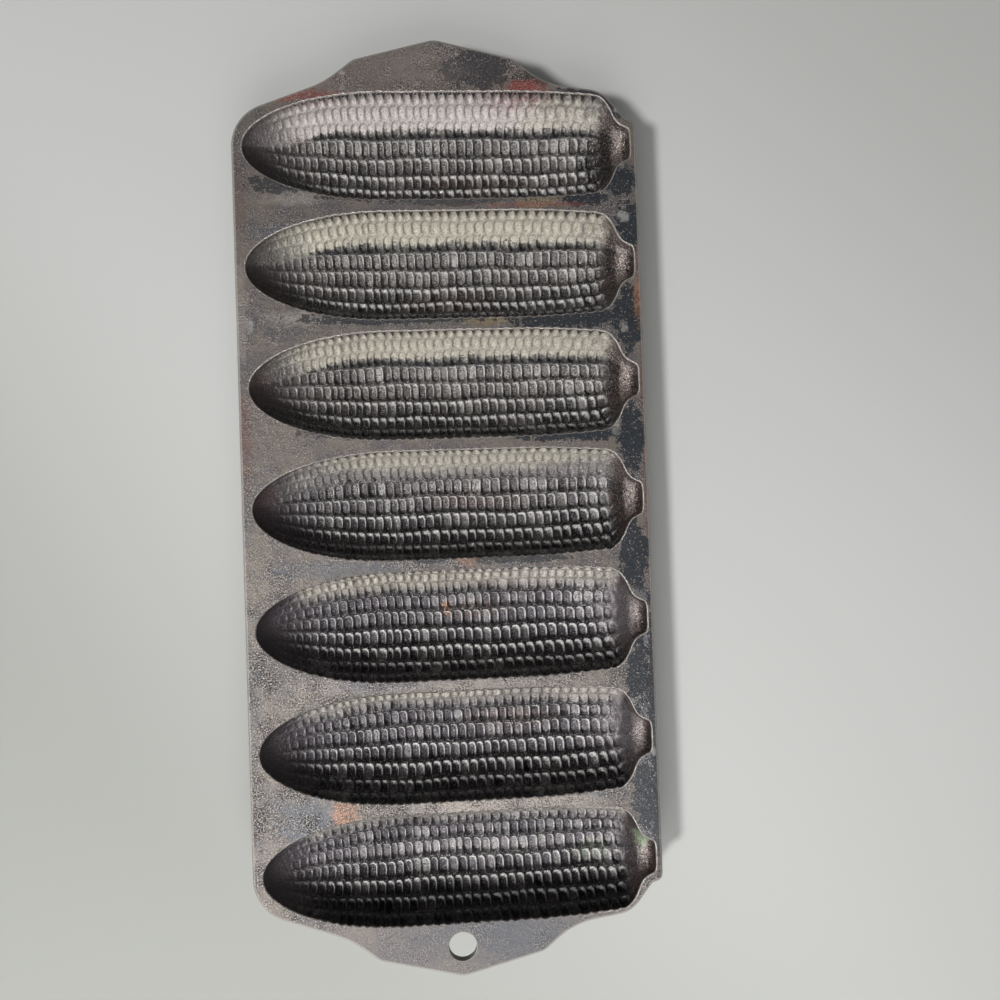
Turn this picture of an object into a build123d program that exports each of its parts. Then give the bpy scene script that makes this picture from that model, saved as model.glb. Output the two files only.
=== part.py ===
from build123d import *
import os
from math import cos, pi, sin, sqrt

os.makedirs("parts", exist_ok=True)

# A cast iron corn stick pan, as the regions of its one casting: a flat deck with seven ear shaped
# openings, seven cob cups that hang under them, and a pointed handle tab at each end. X runs across
# the pan along the ears, from their tips to their stems, Y along the pan from the tab with the hole
# to the plain tab, and Z up. The origin is under the pan's middle, on the surface that it rests on.
# All lengths are in millimetres.

# The walls
deck_thickness = 3.0
deck_top_round = 1.1
deck_bottom_round = 0.5
side_wall = 2.3
floor_wall = 3.6
foot_cut = 0.3
cup_gap = 0.5

# The ears, all alike, with their tips on one side of the pan and their stems on the other
ear_count = 7
ear_length = 139.9
ear_half_width = 19.1
ear_depth = 18.4
nose_length = 50.0
taper_length = 33.0
taper_drop = 1.6
butt_length = 12.4
tip_land = 1.7
stem_land = 0.2

# The kernels, pressed into the ears in rows along them
row_count = 9
kernels_per_row = 35
kernel_depth = 0.85
rim_scallop = 0.6
smooth_nose = 12.0
fade_length = 14.0

# The butt of an ear: from the end of the kernels the opening draws in to the short stem notch. Each
# pair is a share of the way from there to the stem's end, and a share of the ear's half width.
butt_shares = [
    (0.12, 0.885), (0.24, 0.83), (0.34, 0.75), (0.43, 0.65), (0.50, 0.545), (0.57, 0.46),
    (0.66, 0.39), (0.78, 0.34), (0.90, 0.305), (0.97, 0.27), (1.0, 0.21),
]

# The handle tabs, whose outline falls from a blunt point to a shoulder and sweeps in to the deck.
# Drops are measured down from the point, and rises up from the outer wall of the last ear.
tab_length = 17.2
tab_point_round = 9.0
shoulder_half_span = 29.3
shoulder_drop = 7.0
shoulder_round = 7.0
root_half_span = 40.0
tip_root_rise = 2.0
tip_root_round = 33.0
stem_root_rise = 1.2
stem_root_round = 28.0
hang_hole_radius = 5.0
hang_hole_setback = 10.7

# The deck's corners: plain and round beside the ears' tips, and stepped in beside their stems. Insets
# are measured in from the deck's side, and drops down from the outer wall of the last ear.
tip_corner_drop = 10.0
tip_corner_round = 16.0
butt_corner_inset = 12.0
butt_corner_drop = 1.7
butt_corner_round = 12.0
stem_step_inset = 3.9
stem_step_drop = 11.7
stem_step_round = 2.0
stem_corner_drop = 12.7
stem_corner_round = 3.0

# Places worked out from the sizes above
pan_height = ear_depth + floor_wall
deck_underside = pan_height - deck_thickness
deck_width = tip_land + side_wall + ear_length + side_wall + stem_land
half_width = deck_width / 2
tip_x = tip_land + side_wall - half_width
kernel_end = ear_length - butt_length
kernel_pitch = (kernel_end - smooth_nose) / kernels_per_row
ear_pitch = 2 * (ear_half_width + side_wall) + cup_gap
ear_places = [(ear_count - 1 - 2 * i) / 2 * ear_pitch for i in range(ear_count)]
tab_line = ear_places[0] + ear_half_width + side_wall
half_length = tab_line + tab_length
row_turn = pi / row_count
nose_steps = 5
wall_steps = 8


def width_at(from_tip):
    """Half the width of an ear's opening, at a distance from its tip: an elliptic nose, a slow taper."""
    short = max(0, nose_length - from_tip) / nose_length
    tapered = max(0, from_tip - kernel_end + taper_length) / taper_length
    return ear_half_width * sqrt(1 - short ** 2) - taper_drop * tapered ** 2


def nose_places():
    """Distances from the tip along the smooth nose, closest together at the tip."""
    return [smooth_nose * (i / nose_steps) ** 2 for i in range(1, nose_steps + 1)]


def butt_places():
    """Distances from the tip, each with its half width, from the last kernels to the stem's end."""
    return [(kernel_end + along * butt_length, share * ear_half_width) for along, share in butt_shares]


def ear_section(from_tip, half_span, relief, pit_rows):
    """The outline across an ear: an arc for each kernel row, and sides that rise past the deck.
    The rows whose number leaves the remainder pit_rows when halved are pits, and the others ridges."""
    depth_ratio = ear_depth / ear_half_width
    rim_push = relief * rim_scallop / kernel_depth if pit_rows == 0 else 0

    def point(turn, push=0):
        across = -(half_span + push) * cos(turn)
        return Vector(tip_x + from_tip, across, pan_height - (half_span * depth_ratio + push) * sin(turn))

    rims = [point(0, rim_push), point(pi, rim_push)]
    corners = [rims[0]] + [point(row * row_turn) for row in range(1, row_count)] + [rims[1]]
    edges = []
    for row in range(row_count):
        push = relief if row % 2 == pit_rows else 0
        middle = point((row + 1 / 2) * row_turn, push)
        edges.append(Edge.make_three_point_arc(corners[row], middle, corners[row + 1]))
    lift = Vector(0, 0, deck_thickness)
    edges.append(Edge.make_line(rims[1], rims[1] + lift))
    edges.append(Edge.make_line(rims[1] + lift, rims[0] + lift))
    edges.append(Edge.make_line(rims[0] + lift, rims[0]))
    return Wire(edges)


def make_ear():
    """The space inside one cob cup, open at the top, with its kernels staggered from row to row."""
    sections = [ear_section(place, width_at(place), 0, 0) for place in nose_places()]
    for i in range(1, 2 * kernels_per_row + 1):
        place = smooth_nose + i * kernel_pitch / 2
        relief = kernel_depth * min(1, (place - smooth_nose) / fade_length)
        sections.append(ear_section(place, width_at(place), relief, i % 2))
    sections += [ear_section(place, half_span, 0, 0) for place, half_span in butt_places()]
    return Solid.make_loft(sections, True)


def wall_section(x, half_span, depth):
    """The outside of a cob cup at x: the lower half of an ellipse, closed along the deck's top."""
    plane = Plane(origin=(x, 0, pan_height), x_dir=(0, 1, 0), z_dir=(1, 0, 0))
    bowl = Edge.make_ellipse(half_span, depth, plane, 180, 360)
    return Wire([bowl, Edge.make_line(bowl @ 1, bowl @ 0)])


def make_cup_body():
    """A cob cup before its ear is cut: the ear's form grown by the wall, between the deck and the table."""
    plain_places = nose_places()
    step = (kernel_end - smooth_nose) / wall_steps
    plain_places += [smooth_nose + i * step for i in range(1, wall_steps + 1)]
    ear_plan = [(place, width_at(place)) for place in plain_places] + butt_places()
    depth_ratio = (pan_height + foot_cut) / (ear_half_width + side_wall)
    sections = []
    for i, (place, half_span) in enumerate(ear_plan):
        before, after = ear_plan[max(0, i - 1)], ear_plan[min(len(ear_plan) - 1, i + 1)]
        run, rise = after[0] - before[0], after[1] - before[1]
        slant = sqrt(run ** 2 + rise ** 2)
        x = tip_x + place - side_wall * rise / slant
        grown = half_span + side_wall * run / slant
        sections.append(wall_section(x, grown, grown * depth_ratio))
    bowl = Solid.make_loft(sections, True)
    under_deck = Box(2 * deck_width, 2 * ear_pitch, deck_underside, align=(Align.CENTER, Align.CENTER, Align.MIN))
    return bowl & under_deck


def deck_outline():
    """The casting seen from above, corner by corner: first the plain end, from the stems' side to the
    tips' side, and then the same corners at the end with the hole."""
    point_slope = shoulder_drop / shoulder_half_span
    point_rise = tab_point_round * (sqrt(1 + point_slope ** 2) - 1)
    corners = [
        (half_width, tab_line - stem_corner_drop, stem_corner_round),
        (half_width - stem_step_inset, tab_line - stem_step_drop, stem_step_round),
        (half_width - butt_corner_inset, tab_line - butt_corner_drop, butt_corner_round),
        (root_half_span, tab_line + stem_root_rise, stem_root_round),
        (shoulder_half_span, half_length - shoulder_drop, shoulder_round),
        (0, half_length + point_rise, tab_point_round),
        (-shoulder_half_span, half_length - shoulder_drop, shoulder_round),
        (-root_half_span, tab_line + tip_root_rise, tip_root_round),
        (-half_width, tab_line - tip_corner_drop, tip_corner_round),
    ]
    plain_end = [(x, y) for x, y, corner_round in corners]
    hole_end = [(x, -y) for x, y in reversed(plain_end)]
    rounds = [corner_round for x, y, corner_round in corners]
    return FilletPolyline(plain_end + hole_end, radius=rounds + rounds[::-1], close=True)


def make_plate(ear):
    """The deck with both tabs in one: rounded along its edges, with the ears and the hang hole cut out."""
    plate = extrude(Pos(0, 0, deck_underside) * make_face(deck_outline()), deck_thickness)
    plate = fillet(plate.faces().sort_by(Axis.Z)[-1].edges(), deck_top_round)
    plate = fillet(plate.faces().sort_by(Axis.Z)[0].edges(), deck_bottom_round)
    for place in ear_places:
        plate -= Pos(0, place, 0) * ear
    hole = Cylinder(hang_hole_radius, 2 * pan_height)
    return plate - Pos(0, hang_hole_setback - half_length, pan_height) * hole


def save_regions():
    """Splits the casting into its named regions and writes each one."""
    ear = make_ear()
    cup = make_cup_body() - ear
    plate = make_plate(ear)
    plain_line = Plane(origin=(0, tab_line, 0), z_dir=(0, 1, 0))
    hole_line = Plane(origin=(0, -tab_line, 0), z_dir=(0, -1, 0))
    regions = {
        "handle_tab_plain": split(plate, bisect_by=plain_line, keep=Keep.TOP),
        "handle_tab_hang_hole": split(plate, bisect_by=hole_line, keep=Keep.TOP),
    }
    middle = split(plate, bisect_by=plain_line, keep=Keep.BOTTOM)
    regions["deck_plate"] = split(middle, bisect_by=hole_line, keep=Keep.BOTTOM)
    for i, place in enumerate(ear_places):
        regions[f"cob_cup_{i + 1}"] = Pos(0, place, 0) * cup
    for name, region in regions.items():
        export_step(region, f"parts/{name}.step")


save_regions()
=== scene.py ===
"""The looks of a cast iron corn stick pan: seven ear moulds in a flat deck with a handle tab at each end.

X runs across the pan along the ears, from their tips to their stems, Y along the pan from the tab with
the hang hole to the plain tab, and Z up. The origin is under the pan's middle, and lengths are in metres.
"""

import logging
import math
from dataclasses import dataclass, field, replace
from enum import Enum
from functools import reduce

import bmesh
import bpy
import numpy as np
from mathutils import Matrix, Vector
from mathutils.geometry import delaunay_2d_cdt


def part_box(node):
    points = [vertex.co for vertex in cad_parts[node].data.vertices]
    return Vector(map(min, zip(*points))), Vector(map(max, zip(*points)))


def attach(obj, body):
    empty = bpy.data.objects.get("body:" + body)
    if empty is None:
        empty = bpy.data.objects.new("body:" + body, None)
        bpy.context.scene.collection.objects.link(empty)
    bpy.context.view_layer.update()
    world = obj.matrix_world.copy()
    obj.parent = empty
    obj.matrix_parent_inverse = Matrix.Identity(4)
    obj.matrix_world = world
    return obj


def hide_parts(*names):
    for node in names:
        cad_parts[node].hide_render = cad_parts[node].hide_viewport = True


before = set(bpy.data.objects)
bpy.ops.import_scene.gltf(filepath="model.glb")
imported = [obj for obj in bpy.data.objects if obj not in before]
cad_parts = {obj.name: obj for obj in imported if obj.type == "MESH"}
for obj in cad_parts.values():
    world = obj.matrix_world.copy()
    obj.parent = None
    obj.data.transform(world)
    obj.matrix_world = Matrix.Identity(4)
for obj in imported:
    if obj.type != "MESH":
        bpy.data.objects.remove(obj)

MM = 0.001
BODY = "root"
LOG = logging.getLogger("corn_stick_pan")

Colour = tuple[float, float, float]
Span = tuple[float, float]

WAVE_RATES = (1, 1.7, 2.9)
WAVE_PEAK = 1.6
FILL_REACH = 1e-6


class Slot(Enum):
    """The record's material slots."""

    DECK = "worn_deck_iron"
    MOULD = "seasoned_mould_iron"


def tone(red: float, green: float, blue: float) -> Colour:
    """The linear colour that shaders use, from display values of 0 to 255."""
    shown = (red / 255, green / 255, blue / 255)
    return tuple(v / 12.92 if v < 0.04045 else ((v + 0.055) / 1.055) ** 2.4 for v in shown)


class MarkKind(Enum):
    """What a mark is made of: its colour, and the width of its soft edge as a share of its reach.

    SEASONING is a dark skin of burnt on oil, BARE bare worn iron and CRUST a pale crust. GREEN is a grey
    green deposit, LILAC a pale bloom, also a painted sheen on the last ear's floor, and PINK and CREAM are
    pinkish and yellowish films, partly a painted sheen on the far walls.
    """

    SEASONING = (tone(52, 56, 62), 0.1)
    BARE = (tone(196, 186, 178), 0.6)
    PITTING = (tone(36, 34, 34), 0.25)
    TARNISH = (tone(92, 95, 102), 0.5)
    RED = (tone(142, 78, 72), 0.5)
    BROWN = (tone(104, 80, 74), 0.5)
    RUST = (tone(176, 128, 98), 0.45)
    OCHRE = (tone(132, 116, 88), 0.35)
    CRUST = (tone(158, 157, 155), 0.3)
    GREEN = (tone(164, 178, 150), 0.4)
    PINK = (tone(226, 216, 213), 0.45)
    CREAM = (tone(215, 209, 191), 0.4)
    LILAC = (tone(156, 150, 154), 0.5)

    @property
    def colour(self) -> Colour:
        """The mark's linear colour."""
        return self.value[0]

    @property
    def softness(self) -> float:
        """How wide its soft edge is, as a share of its reach."""
        return self.value[1]


def eased(at: np.ndarray, low: float, high: float) -> np.ndarray:
    """A smooth climb from 0 at low to 1 at high, which may be the smaller of the two."""
    share = np.clip((at - low) / (high - low), 0, 1)
    return share * share * (3 - 2 * share)


def through(at: np.ndarray, knots: tuple[tuple[float, float], ...]) -> np.ndarray:
    """A smooth curve through chosen points.

    Args:
        at: The places to read the curve at.
        knots: The points, each with its place and its value, in order of place.

    Returns:
        The curve's value at each place.
    """
    places, values = np.array(knots).T
    slopes = np.gradient(values, places)
    right = np.clip(np.searchsorted(places, at), 1, len(places) - 1)
    left = right - 1
    run = places[right] - places[left]
    t = np.clip((at - places[left]) / run, 0, 1)
    rise = t * t * (3 - 2 * t)
    level = values[left] * (1 - rise) + values[right] * rise
    bend = t * (1 - t) * run * ((1 - t) * slopes[left] - t * slopes[right])
    return level + bend


def slow_wave(at: np.ndarray, span: float, draws: np.random.Generator) -> np.ndarray:
    """An uneven wave between about -1 and 1.

    Args:
        at: The places to read it at.
        span: The length of its longest swing.
        draws: Where its random phases come from.

    Returns:
        The wave's value at each place.
    """
    turns = draws.uniform(0, 2 * math.pi, len(WAVE_RATES))
    longest = 2 * math.pi * at / span
    return sum(np.sin(longest * rate + turn) / rate for rate, turn in zip(WAVE_RATES, turns)) / WAVE_PEAK


def outward(loop: np.ndarray) -> np.ndarray:
    """The directions that point out of a closed loop.

    Args:
        loop: The loop's points in plan, anticlockwise.

    Returns:
        A unit vector in plan at each point.
    """
    along = np.roll(loop, -1, axis=0) - np.roll(loop, 1, axis=0)
    along /= np.linalg.norm(along, axis=1, keepdims=True)
    return np.stack([along[:, 1], -along[:, 0]], axis=1)


def raised(loop: np.ndarray, height: float) -> np.ndarray:
    """The points of a plan loop, all at one height."""
    return np.column_stack([loop, np.full(len(loop), height)])


def inside_triangles(triangles: list[list[int]], walls: set[tuple[int, int]]) -> list[list[int]]:
    """Picks the triangles that lie between closed loops, by counting the loops crossed on the way in.

    Args:
        triangles: Three point numbers each, together filling all space around the loops.
        walls: The loops' edges, each as its two point numbers, the lower first.

    Returns:
        The triangles that lie inside an odd number of loops.
    """
    beside: dict[tuple[int, int], list[int]] = {}
    for number, corners in enumerate(triangles):
        for a, b in zip(corners, corners[1:] + corners[:1]):
            beside.setdefault((min(a, b), max(a, b)), []).append(number)
    parity: dict[int, bool] = {}
    waiting = []
    for edge, sides in beside.items():
        if len(sides) == 1 and sides[0] not in parity:
            parity[sides[0]] = edge in walls
            waiting.append(sides[0])
    while waiting:
        number = waiting.pop()
        corners = triangles[number]
        for a, b in zip(corners, corners[1:] + corners[:1]):
            edge = (min(a, b), max(a, b))
            for other in beside[edge]:
                if other not in parity:
                    parity[other] = parity[number] != (edge in walls)
                    waiting.append(other)
    return [corners for number, corners in enumerate(triangles) if parity.get(number)]


class Mesher:
    """Gathers the points and faces of one mesh, and makes its object."""

    def __init__(self) -> None:
        """Starts with no points and no faces."""
        self.points: list[np.ndarray] = []
        self.faces: list[tuple[int, ...]] = []
        self.creases: set[tuple[int, int]] = set()
        self.count = 0

    def add(self, places: np.ndarray) -> np.ndarray:
        """Adds points.

        Args:
            places: Their places, with the three coordinates last.

        Returns:
            Their numbers, laid out as the places are.
        """
        flat = places.reshape(-1, 3)
        numbers = np.arange(self.count, self.count + len(flat)).reshape(places.shape[:-1])
        self.points.append(flat)
        self.count += len(flat)
        return numbers

    def band(self, first: np.ndarray, second: np.ndarray, closed: bool = True) -> None:
        """Joins two rows of points with four sided faces.

        Args:
            first: The numbers of one row.
            second: The numbers of the other row, as many.
            closed: Whether the rows are loops.
        """
        if closed:
            first, second = np.append(first, first[0]), np.append(second, second[0])
        self.faces.extend(np.stack([first[:-1], first[1:], second[1:], second[:-1]], axis=1).tolist())

    def fan(self, tip: int, row: np.ndarray) -> None:
        """Joins a single point to an open row of points."""
        self.faces.extend([tip, a, b] for a, b in zip(row[:-1].tolist(), row[1:].tolist()))

    def shell(self, ends: np.ndarray, places: np.ndarray) -> np.ndarray:
        """Joins rows of points into an open shell that closes to a point at each end.

        Args:
            ends: The places of the points before the first row and after the last.
            places: The places of the rows' points, row by row.

        Returns:
            The point numbers round the shell's edge: the first end, one side, the last end, the other side.
        """
        tip, stem = self.add(ends).tolist()
        grid = self.add(places)
        for first, second in zip(grid[:-1], grid[1:]):
            self.band(first, second, closed=False)
        self.fan(tip, grid[0])
        self.fan(stem, grid[-1])
        return np.concatenate([[tip], grid[:, 0], [stem], grid[::-1, -1]])

    def crease(self, loop: np.ndarray) -> None:
        """Keeps the shading of a closed loop's edges sharp."""
        for a, b in zip(loop.tolist(), np.roll(loop, -1).tolist()):
            self.creases.add((min(a, b), max(a, b)))

    def fill(self, *loops: np.ndarray) -> None:
        """Fills the flat space between closed loops with triangles.

        Args:
            loops: The numbers of each loop's points, the outer loop and the loops inside it.
        """
        ring = np.concatenate(loops)
        flat = np.concatenate(self.points)[ring, :2] / MM
        edges, start = [], 0
        for loop in loops:
            edges += [(start + i, start + (i + 1) % len(loop)) for i in range(len(loop))]
            start += len(loop)
        found = delaunay_2d_cdt([Vector(place) for place in flat.tolist()], edges, [], 0, FILL_REACH)
        origins = [sources[0] for sources in found[3]]
        triangles = [[origins[corner] for corner in corners] for corners in found[2]]
        walls = {(min(a, b), max(a, b)) for a, b in edges}
        self.faces.extend(ring[corners].tolist() for corners in inside_triangles(triangles, walls))

    def to_object(self, name: str) -> bpy.types.Object:
        """Makes the mesh and its object, with its faces turned outward and shaded smooth.

        Args:
            name: The object's name.

        Returns:
            The new object, linked to the scene.
        """
        mesh = bpy.data.meshes.new(name)
        mesh.from_pydata(np.concatenate(self.points).tolist(), [], self.faces)
        turned = bmesh.new()
        turned.from_mesh(mesh)
        bmesh.ops.recalc_face_normals(turned, faces=turned.faces)
        for edge in turned.edges:
            a, b = (corner.index for corner in edge.verts)
            edge.smooth = (min(a, b), max(a, b)) not in self.creases
        for face in turned.faces:
            face.smooth = True
        turned.to_mesh(mesh)
        turned.free()
        made = bpy.data.objects.new(name, mesh)
        bpy.context.scene.collection.objects.link(made)
        return made


@dataclass(frozen=True)
class EarForm:
    """The sizes of one ear, alike in all seven moulds."""

    length: float = 139.9 * MM
    half_width: float = 19.1 * MM
    depth: float = 18.4 * MM
    nose_length: float = 50 * MM
    taper_length: float = 33 * MM
    taper_drop: float = 1.6 * MM
    butt_length: float = 12.4 * MM
    stem_round: float = 2.0 * MM
    trial_steps: int = 40000
    butt_shares: tuple[tuple[float, float], ...] = (
        (0.0, 0.916), (0.12, 0.885), (0.24, 0.83), (0.34, 0.75), (0.43, 0.65), (0.50, 0.545),
        (0.57, 0.46), (0.66, 0.39), (0.78, 0.34), (0.90, 0.305), (1.0, 0.29),
    )

    @property
    def kernel_end(self) -> float:
        """How far from the tip the kernels end and the butt begins."""
        return self.length - self.butt_length

    def width(self, along: np.ndarray) -> np.ndarray:
        """Half the width of the ear's opening: an elliptic nose, a slow taper, the butt and the stem notch.

        Args:
            along: Distances from the tip.

        Returns:
            The half width at each.
        """
        short = np.clip(self.nose_length - along, 0, None) / self.nose_length
        tapered = np.clip(along - self.kernel_end + self.taper_length, 0, None) / self.taper_length
        plain = self.half_width * np.sqrt(np.clip(1 - short**2, 0, None)) - self.taper_drop * tapered**2
        butt = self.half_width * through((along - self.kernel_end) / self.butt_length, self.butt_shares)
        closing = np.clip((along - self.length + self.stem_round) / self.stem_round, 0, 1)
        return np.where(along < self.kernel_end, plain, butt) * (1 - closing**4) ** 0.25

    def stations(self, step_along: float, step_aside: float) -> np.ndarray:
        """Distances from the tip that follow the ear's outline in even steps.

        Args:
            step_along: The step where the outline runs along the ear.
            step_aside: The step where it runs across.

        Returns:
            The distances, from 0 to the ear's length.
        """
        fine = self.length * (1 - np.cos(np.linspace(0, math.pi, self.trial_steps + 1))) / 2
        steps = np.hypot(np.diff(fine) / step_along, np.diff(self.width(fine)) / step_aside)
        walked = np.concatenate([[0], np.cumsum(steps)])
        return np.interp(np.linspace(0, walked[-1], int(walked[-1]) + 1), walked, fine)


@dataclass(frozen=True)
class KernelForm:
    """How the kernels are pressed into an ear."""

    rows: int = 9
    depth: float = 1.6 * MM
    flute_share: float = 0.4
    crest_reach: float = 1.04
    far_row_reach: float = 1.12
    near_row_reach: float = 1.2
    cast_grain: float = 0.05 * MM
    first: float = 4.0 * MM
    full_from: float = 38.0 * MM
    blobs_from: float = 117.0 * MM
    blobs_run: float = 8.0 * MM
    fading_from: float = 127.0 * MM
    gone_at: float = 134.0 * MM
    flute_span: Span = (3 * MM, 16 * MM)
    pitch_at_nose: float = 2.75 * MM
    pitch_at_butt: float = 3.85 * MM
    pitch_jitter: float = 0.09
    depth_jitter: float = 0.16
    row_wander: float = math.radians(1.3)
    rim_reach: float = 1.08
    rim_notch: float = 0.3
    notch_span: Span = (0.7, 0.9)
    growth_power: float = 0.7
    squareness: float = 0.9
    side_squareness: float = 0.8
    slant: float = 0.2
    start_shares: Span = (0.2, 1.2)
    wall_span: Span = (-0.02, 0.66)
    flute_power: float = 2.5
    gap_span: Span = (-0.06, 0.06)
    gap_rows_span: Span = (-0.5, 0)
    # The lean, rings and spans below place the painted highlight on each kernel's far and stem side edge,
    # and the painted shade on its near and tip sides.
    lean: float = 0.8
    ring_inner_span: Span = (0.36, 0.6)
    ring_outer_span: Span = (-0.06, 0.04)
    shade_span: Span = (0.6, 0.9)
    shade_lean_span: Span = (0.1, 1.1)
    glint_lean_span: Span = (-0.05, 0.6)
    arch_taper: float = 0.6
    filled_rows: int = 3
    filled_share: float = 0.45
    filled_ears: int = 4
    sway: float = 0.1 * MM
    sway_span: float = 21 * MM
    sway_waves: int = 4
    sway_full_from: float = 20 * MM
    grain_span: Span = (2 * MM, 8 * MM)
    grain_rounds: int = 2
    row_shares: tuple[float, ...] = (0.0, 0.045, 0.1, 0.17, 0.26, 0.38, 0.5, 0.62, 0.74, 0.83, 0.9, 0.955)


@dataclass
class EarMould:
    """One mould: the inside of half an ear of corn, its lip on the deck and the bowl under it."""

    number: int
    node: str
    tip_x: float
    top: float
    form: EarForm = field(default_factory=EarForm)
    kernels: KernelForm = field(default_factory=KernelForm)
    lip_round: float = 0.45 * MM
    lip_steps: int = 5
    deck_thickness: float = 3.0 * MM
    side_wall: float = 2.3 * MM
    foot_cut: float = 0.3 * MM
    step_along: float = 0.21 * MM
    step_aside: float = 0.45 * MM
    bowl_step: float = 1.5 * MM
    bowl_lines: int = 28
    seed: int = 20

    def __post_init__(self) -> None:
        """Works out where the ear lies from its node."""
        low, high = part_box(self.node)
        self.axis_y = (low[1] + high[1]) / 2
        self.along = self.form.stations(self.step_along, self.step_aside)
        self.half = self.form.width(self.along)

    def row_lines(self, draws: np.random.Generator) -> np.ndarray:
        """Lays out the lines along the ear, row by row.

        Args:
            draws: Where the rows' random wander comes from.

        Returns:
            The turn about the ear's axis at each station and line.
        """
        rows, form = self.kernels.rows, self.kernels
        edges = np.arange(rows + 1) * math.pi / rows
        wander = np.zeros((len(self.along), rows + 1))
        for row in range(1, rows):
            wander[:, row] = form.row_wander * slow_wave(self.along, self.form.nose_length, draws)
        edges = edges + wander
        shares = np.array(form.row_shares)
        lines = edges[:, :-1, None] + (edges[:, 1:, None] - edges[:, :-1, None]) * shares
        return np.concatenate([lines.reshape(len(self.along), -1), edges[:, -1:]], axis=1)

    def row_places(self) -> np.ndarray:
        """Where each line lies among the rows, from 0 at the near rim to 1 at the far one."""
        rows = np.arange(self.kernels.rows)[:, None] + np.array(self.kernels.row_shares)
        return np.append(rows.ravel() / self.kernels.rows, 1.0)

    def kernel_row(self, draws: np.random.Generator) -> tuple[np.ndarray, ...]:
        """Lays out one row of kernels.

        Args:
            draws: Where its random sizes come from.

        Returns:
            For each station the share from -1 to 1 across its kernel, and that kernel's depth, two slants
            and wear.
        """
        form = self.kernels
        edges = [form.first - form.pitch_at_butt * draws.uniform(*form.start_shares)]
        while edges[-1] < form.gone_at:
            share = max(0, edges[-1] - form.first) / (form.gone_at - form.first)
            pitch = form.pitch_at_nose + (form.pitch_at_butt - form.pitch_at_nose) * share
            edges.append(edges[-1] + pitch * (1 + form.pitch_jitter * float(draws.normal())))
        edges = np.array(edges)
        which = np.clip(np.searchsorted(edges, self.along) - 1, 0, len(edges) - 2)
        across = np.clip(2 * (self.along - edges[which]) / (edges[which + 1] - edges[which]) - 1, -1, 1)
        deep = 1 + form.depth_jitter * draws.normal(size=len(edges))
        slants = draws.normal(0, form.slant, (2, len(edges)))
        worn = draws.uniform(0, 1, len(edges))
        return across, deep[which], slants[0][which], slants[1][which], worn[which]

    def kernel_pits(self, draws: np.random.Generator) -> tuple[np.ndarray, np.ndarray]:
        """How deep the kernels are pressed in at each station and line.

        Args:
            draws: Where their random sizes come from.

        Returns:
            The depths as shares of a whole kernel's, and how far each station is among whole kernels.
        """
        form = self.kernels
        grown = eased(self.along, form.first, form.full_from)
        fading = 1 - eased(self.along, form.fading_from, form.gone_at)
        present = grown**form.growth_power * fading
        blobs = eased(self.along, form.blobs_from, form.blobs_from + form.blobs_run)
        sharp = 2 + form.squareness * grown * (1 - blobs)
        reach = form.far_row_reach if self.number <= form.filled_ears else form.near_row_reach
        flute = form.flute_share * eased(self.along, *form.flute_span) * fading * (1 - present)
        share = 2 * np.array(form.row_shares) - 1
        columns, notes = [], []
        for row in range(form.rows):
            aside = np.append(share, 1.0) if row == form.rows - 1 else share
            towards = {0: -aside, form.rows - 1: aside}.get(row, np.full(len(aside), -1.0))
            aside = np.where(towards > 0, aside / form.rim_reach, aside)
            arch = 1 - form.arch_taper * ((towards + 1) / 2) ** 2
            across, deep, slant_along, slant_aside, worn = self.kernel_row(draws)
            filled = row >= form.rows - form.filled_rows and self.number <= form.filled_ears
            square = np.full(len(sharp), 2.0) if filled else sharp
            pit, inward = self.one_pit(across, aside * reach, square, arch, (slant_along, slant_aside))
            notch = eased(towards, *form.notch_span) * (1 - across**2)[:, None]
            pit = np.maximum(pit, form.rim_notch * notch)
            pit = pit * (1 - form.filled_share * filled)
            channel = flute[:, None] * (1 - np.abs(aside) ** form.flute_power)
            columns.append(pit * (deep * present)[:, None] + channel)
            beyond = eased(np.abs(across)[:, None] - arch, *form.gap_span)
            leaning = aside + form.lean * across[:, None]
            # Notes for the finish: the shade note marks each kernel's near and tip side walls for painted
            # shade, and the glint note its far and stem side edge ring for a painted highlight.
            notes.append({
                "gap": beyond * eased(towards, *form.gap_rows_span),
                "painted_shade": eased(-leaning, *form.shade_lean_span) * (1 - eased(inward, *form.shade_span)),
                "glint": self.ring(inward) * eased(leaning, *form.glint_lean_span),
                "worn": np.broadcast_to(worn[:, None], pit.shape),
            })
        self.notes = {name: np.concatenate([row[name] for row in notes], axis=1) for name in notes[0]}
        return np.concatenate(columns, axis=1), present

    def ring(self, inward: np.ndarray) -> np.ndarray:
        """The ring round a kernel, where the painted highlight goes, by how far inward of its edge each
        point lies.
        """
        form = self.kernels
        return eased(inward, *form.ring_outer_span) * (1 - eased(inward, *form.ring_inner_span))

    def one_pit(
        self, across: np.ndarray, aside: np.ndarray, sharp: np.ndarray, arch: np.ndarray,
        slants: tuple[np.ndarray, np.ndarray],
    ) -> tuple[np.ndarray, np.ndarray]:
        """Shapes a row's kernels as rounded pits, 1 deep in their middle and 0 along the crests round them.

        Args:
            across: Each station's share across its kernel, from -1 to 1.
            aside: Each line's share across its kernel, from -1 to 1 and beyond it.
            sharp: How square the kernels are at each station, 2 for an ellipse.
            arch: How wide they are at each line, as a share of the space between their crests.
            slants: How each station's kernel leans along the ear and across it.

        Returns:
            The depth at each station and line, and how far inward of the kernel's edge it lies.
        """
        u, power = np.abs(across)[:, None] * self.kernels.crest_reach / arch, sharp[:, None]
        inward = 1 - u**power - np.abs(aside) ** (power + self.kernels.side_squareness)
        bowl = eased(inward, *self.kernels.wall_span)
        return bowl * (1 + slants[0][:, None] * across[:, None] + slants[1][:, None] * aside), inward

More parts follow.
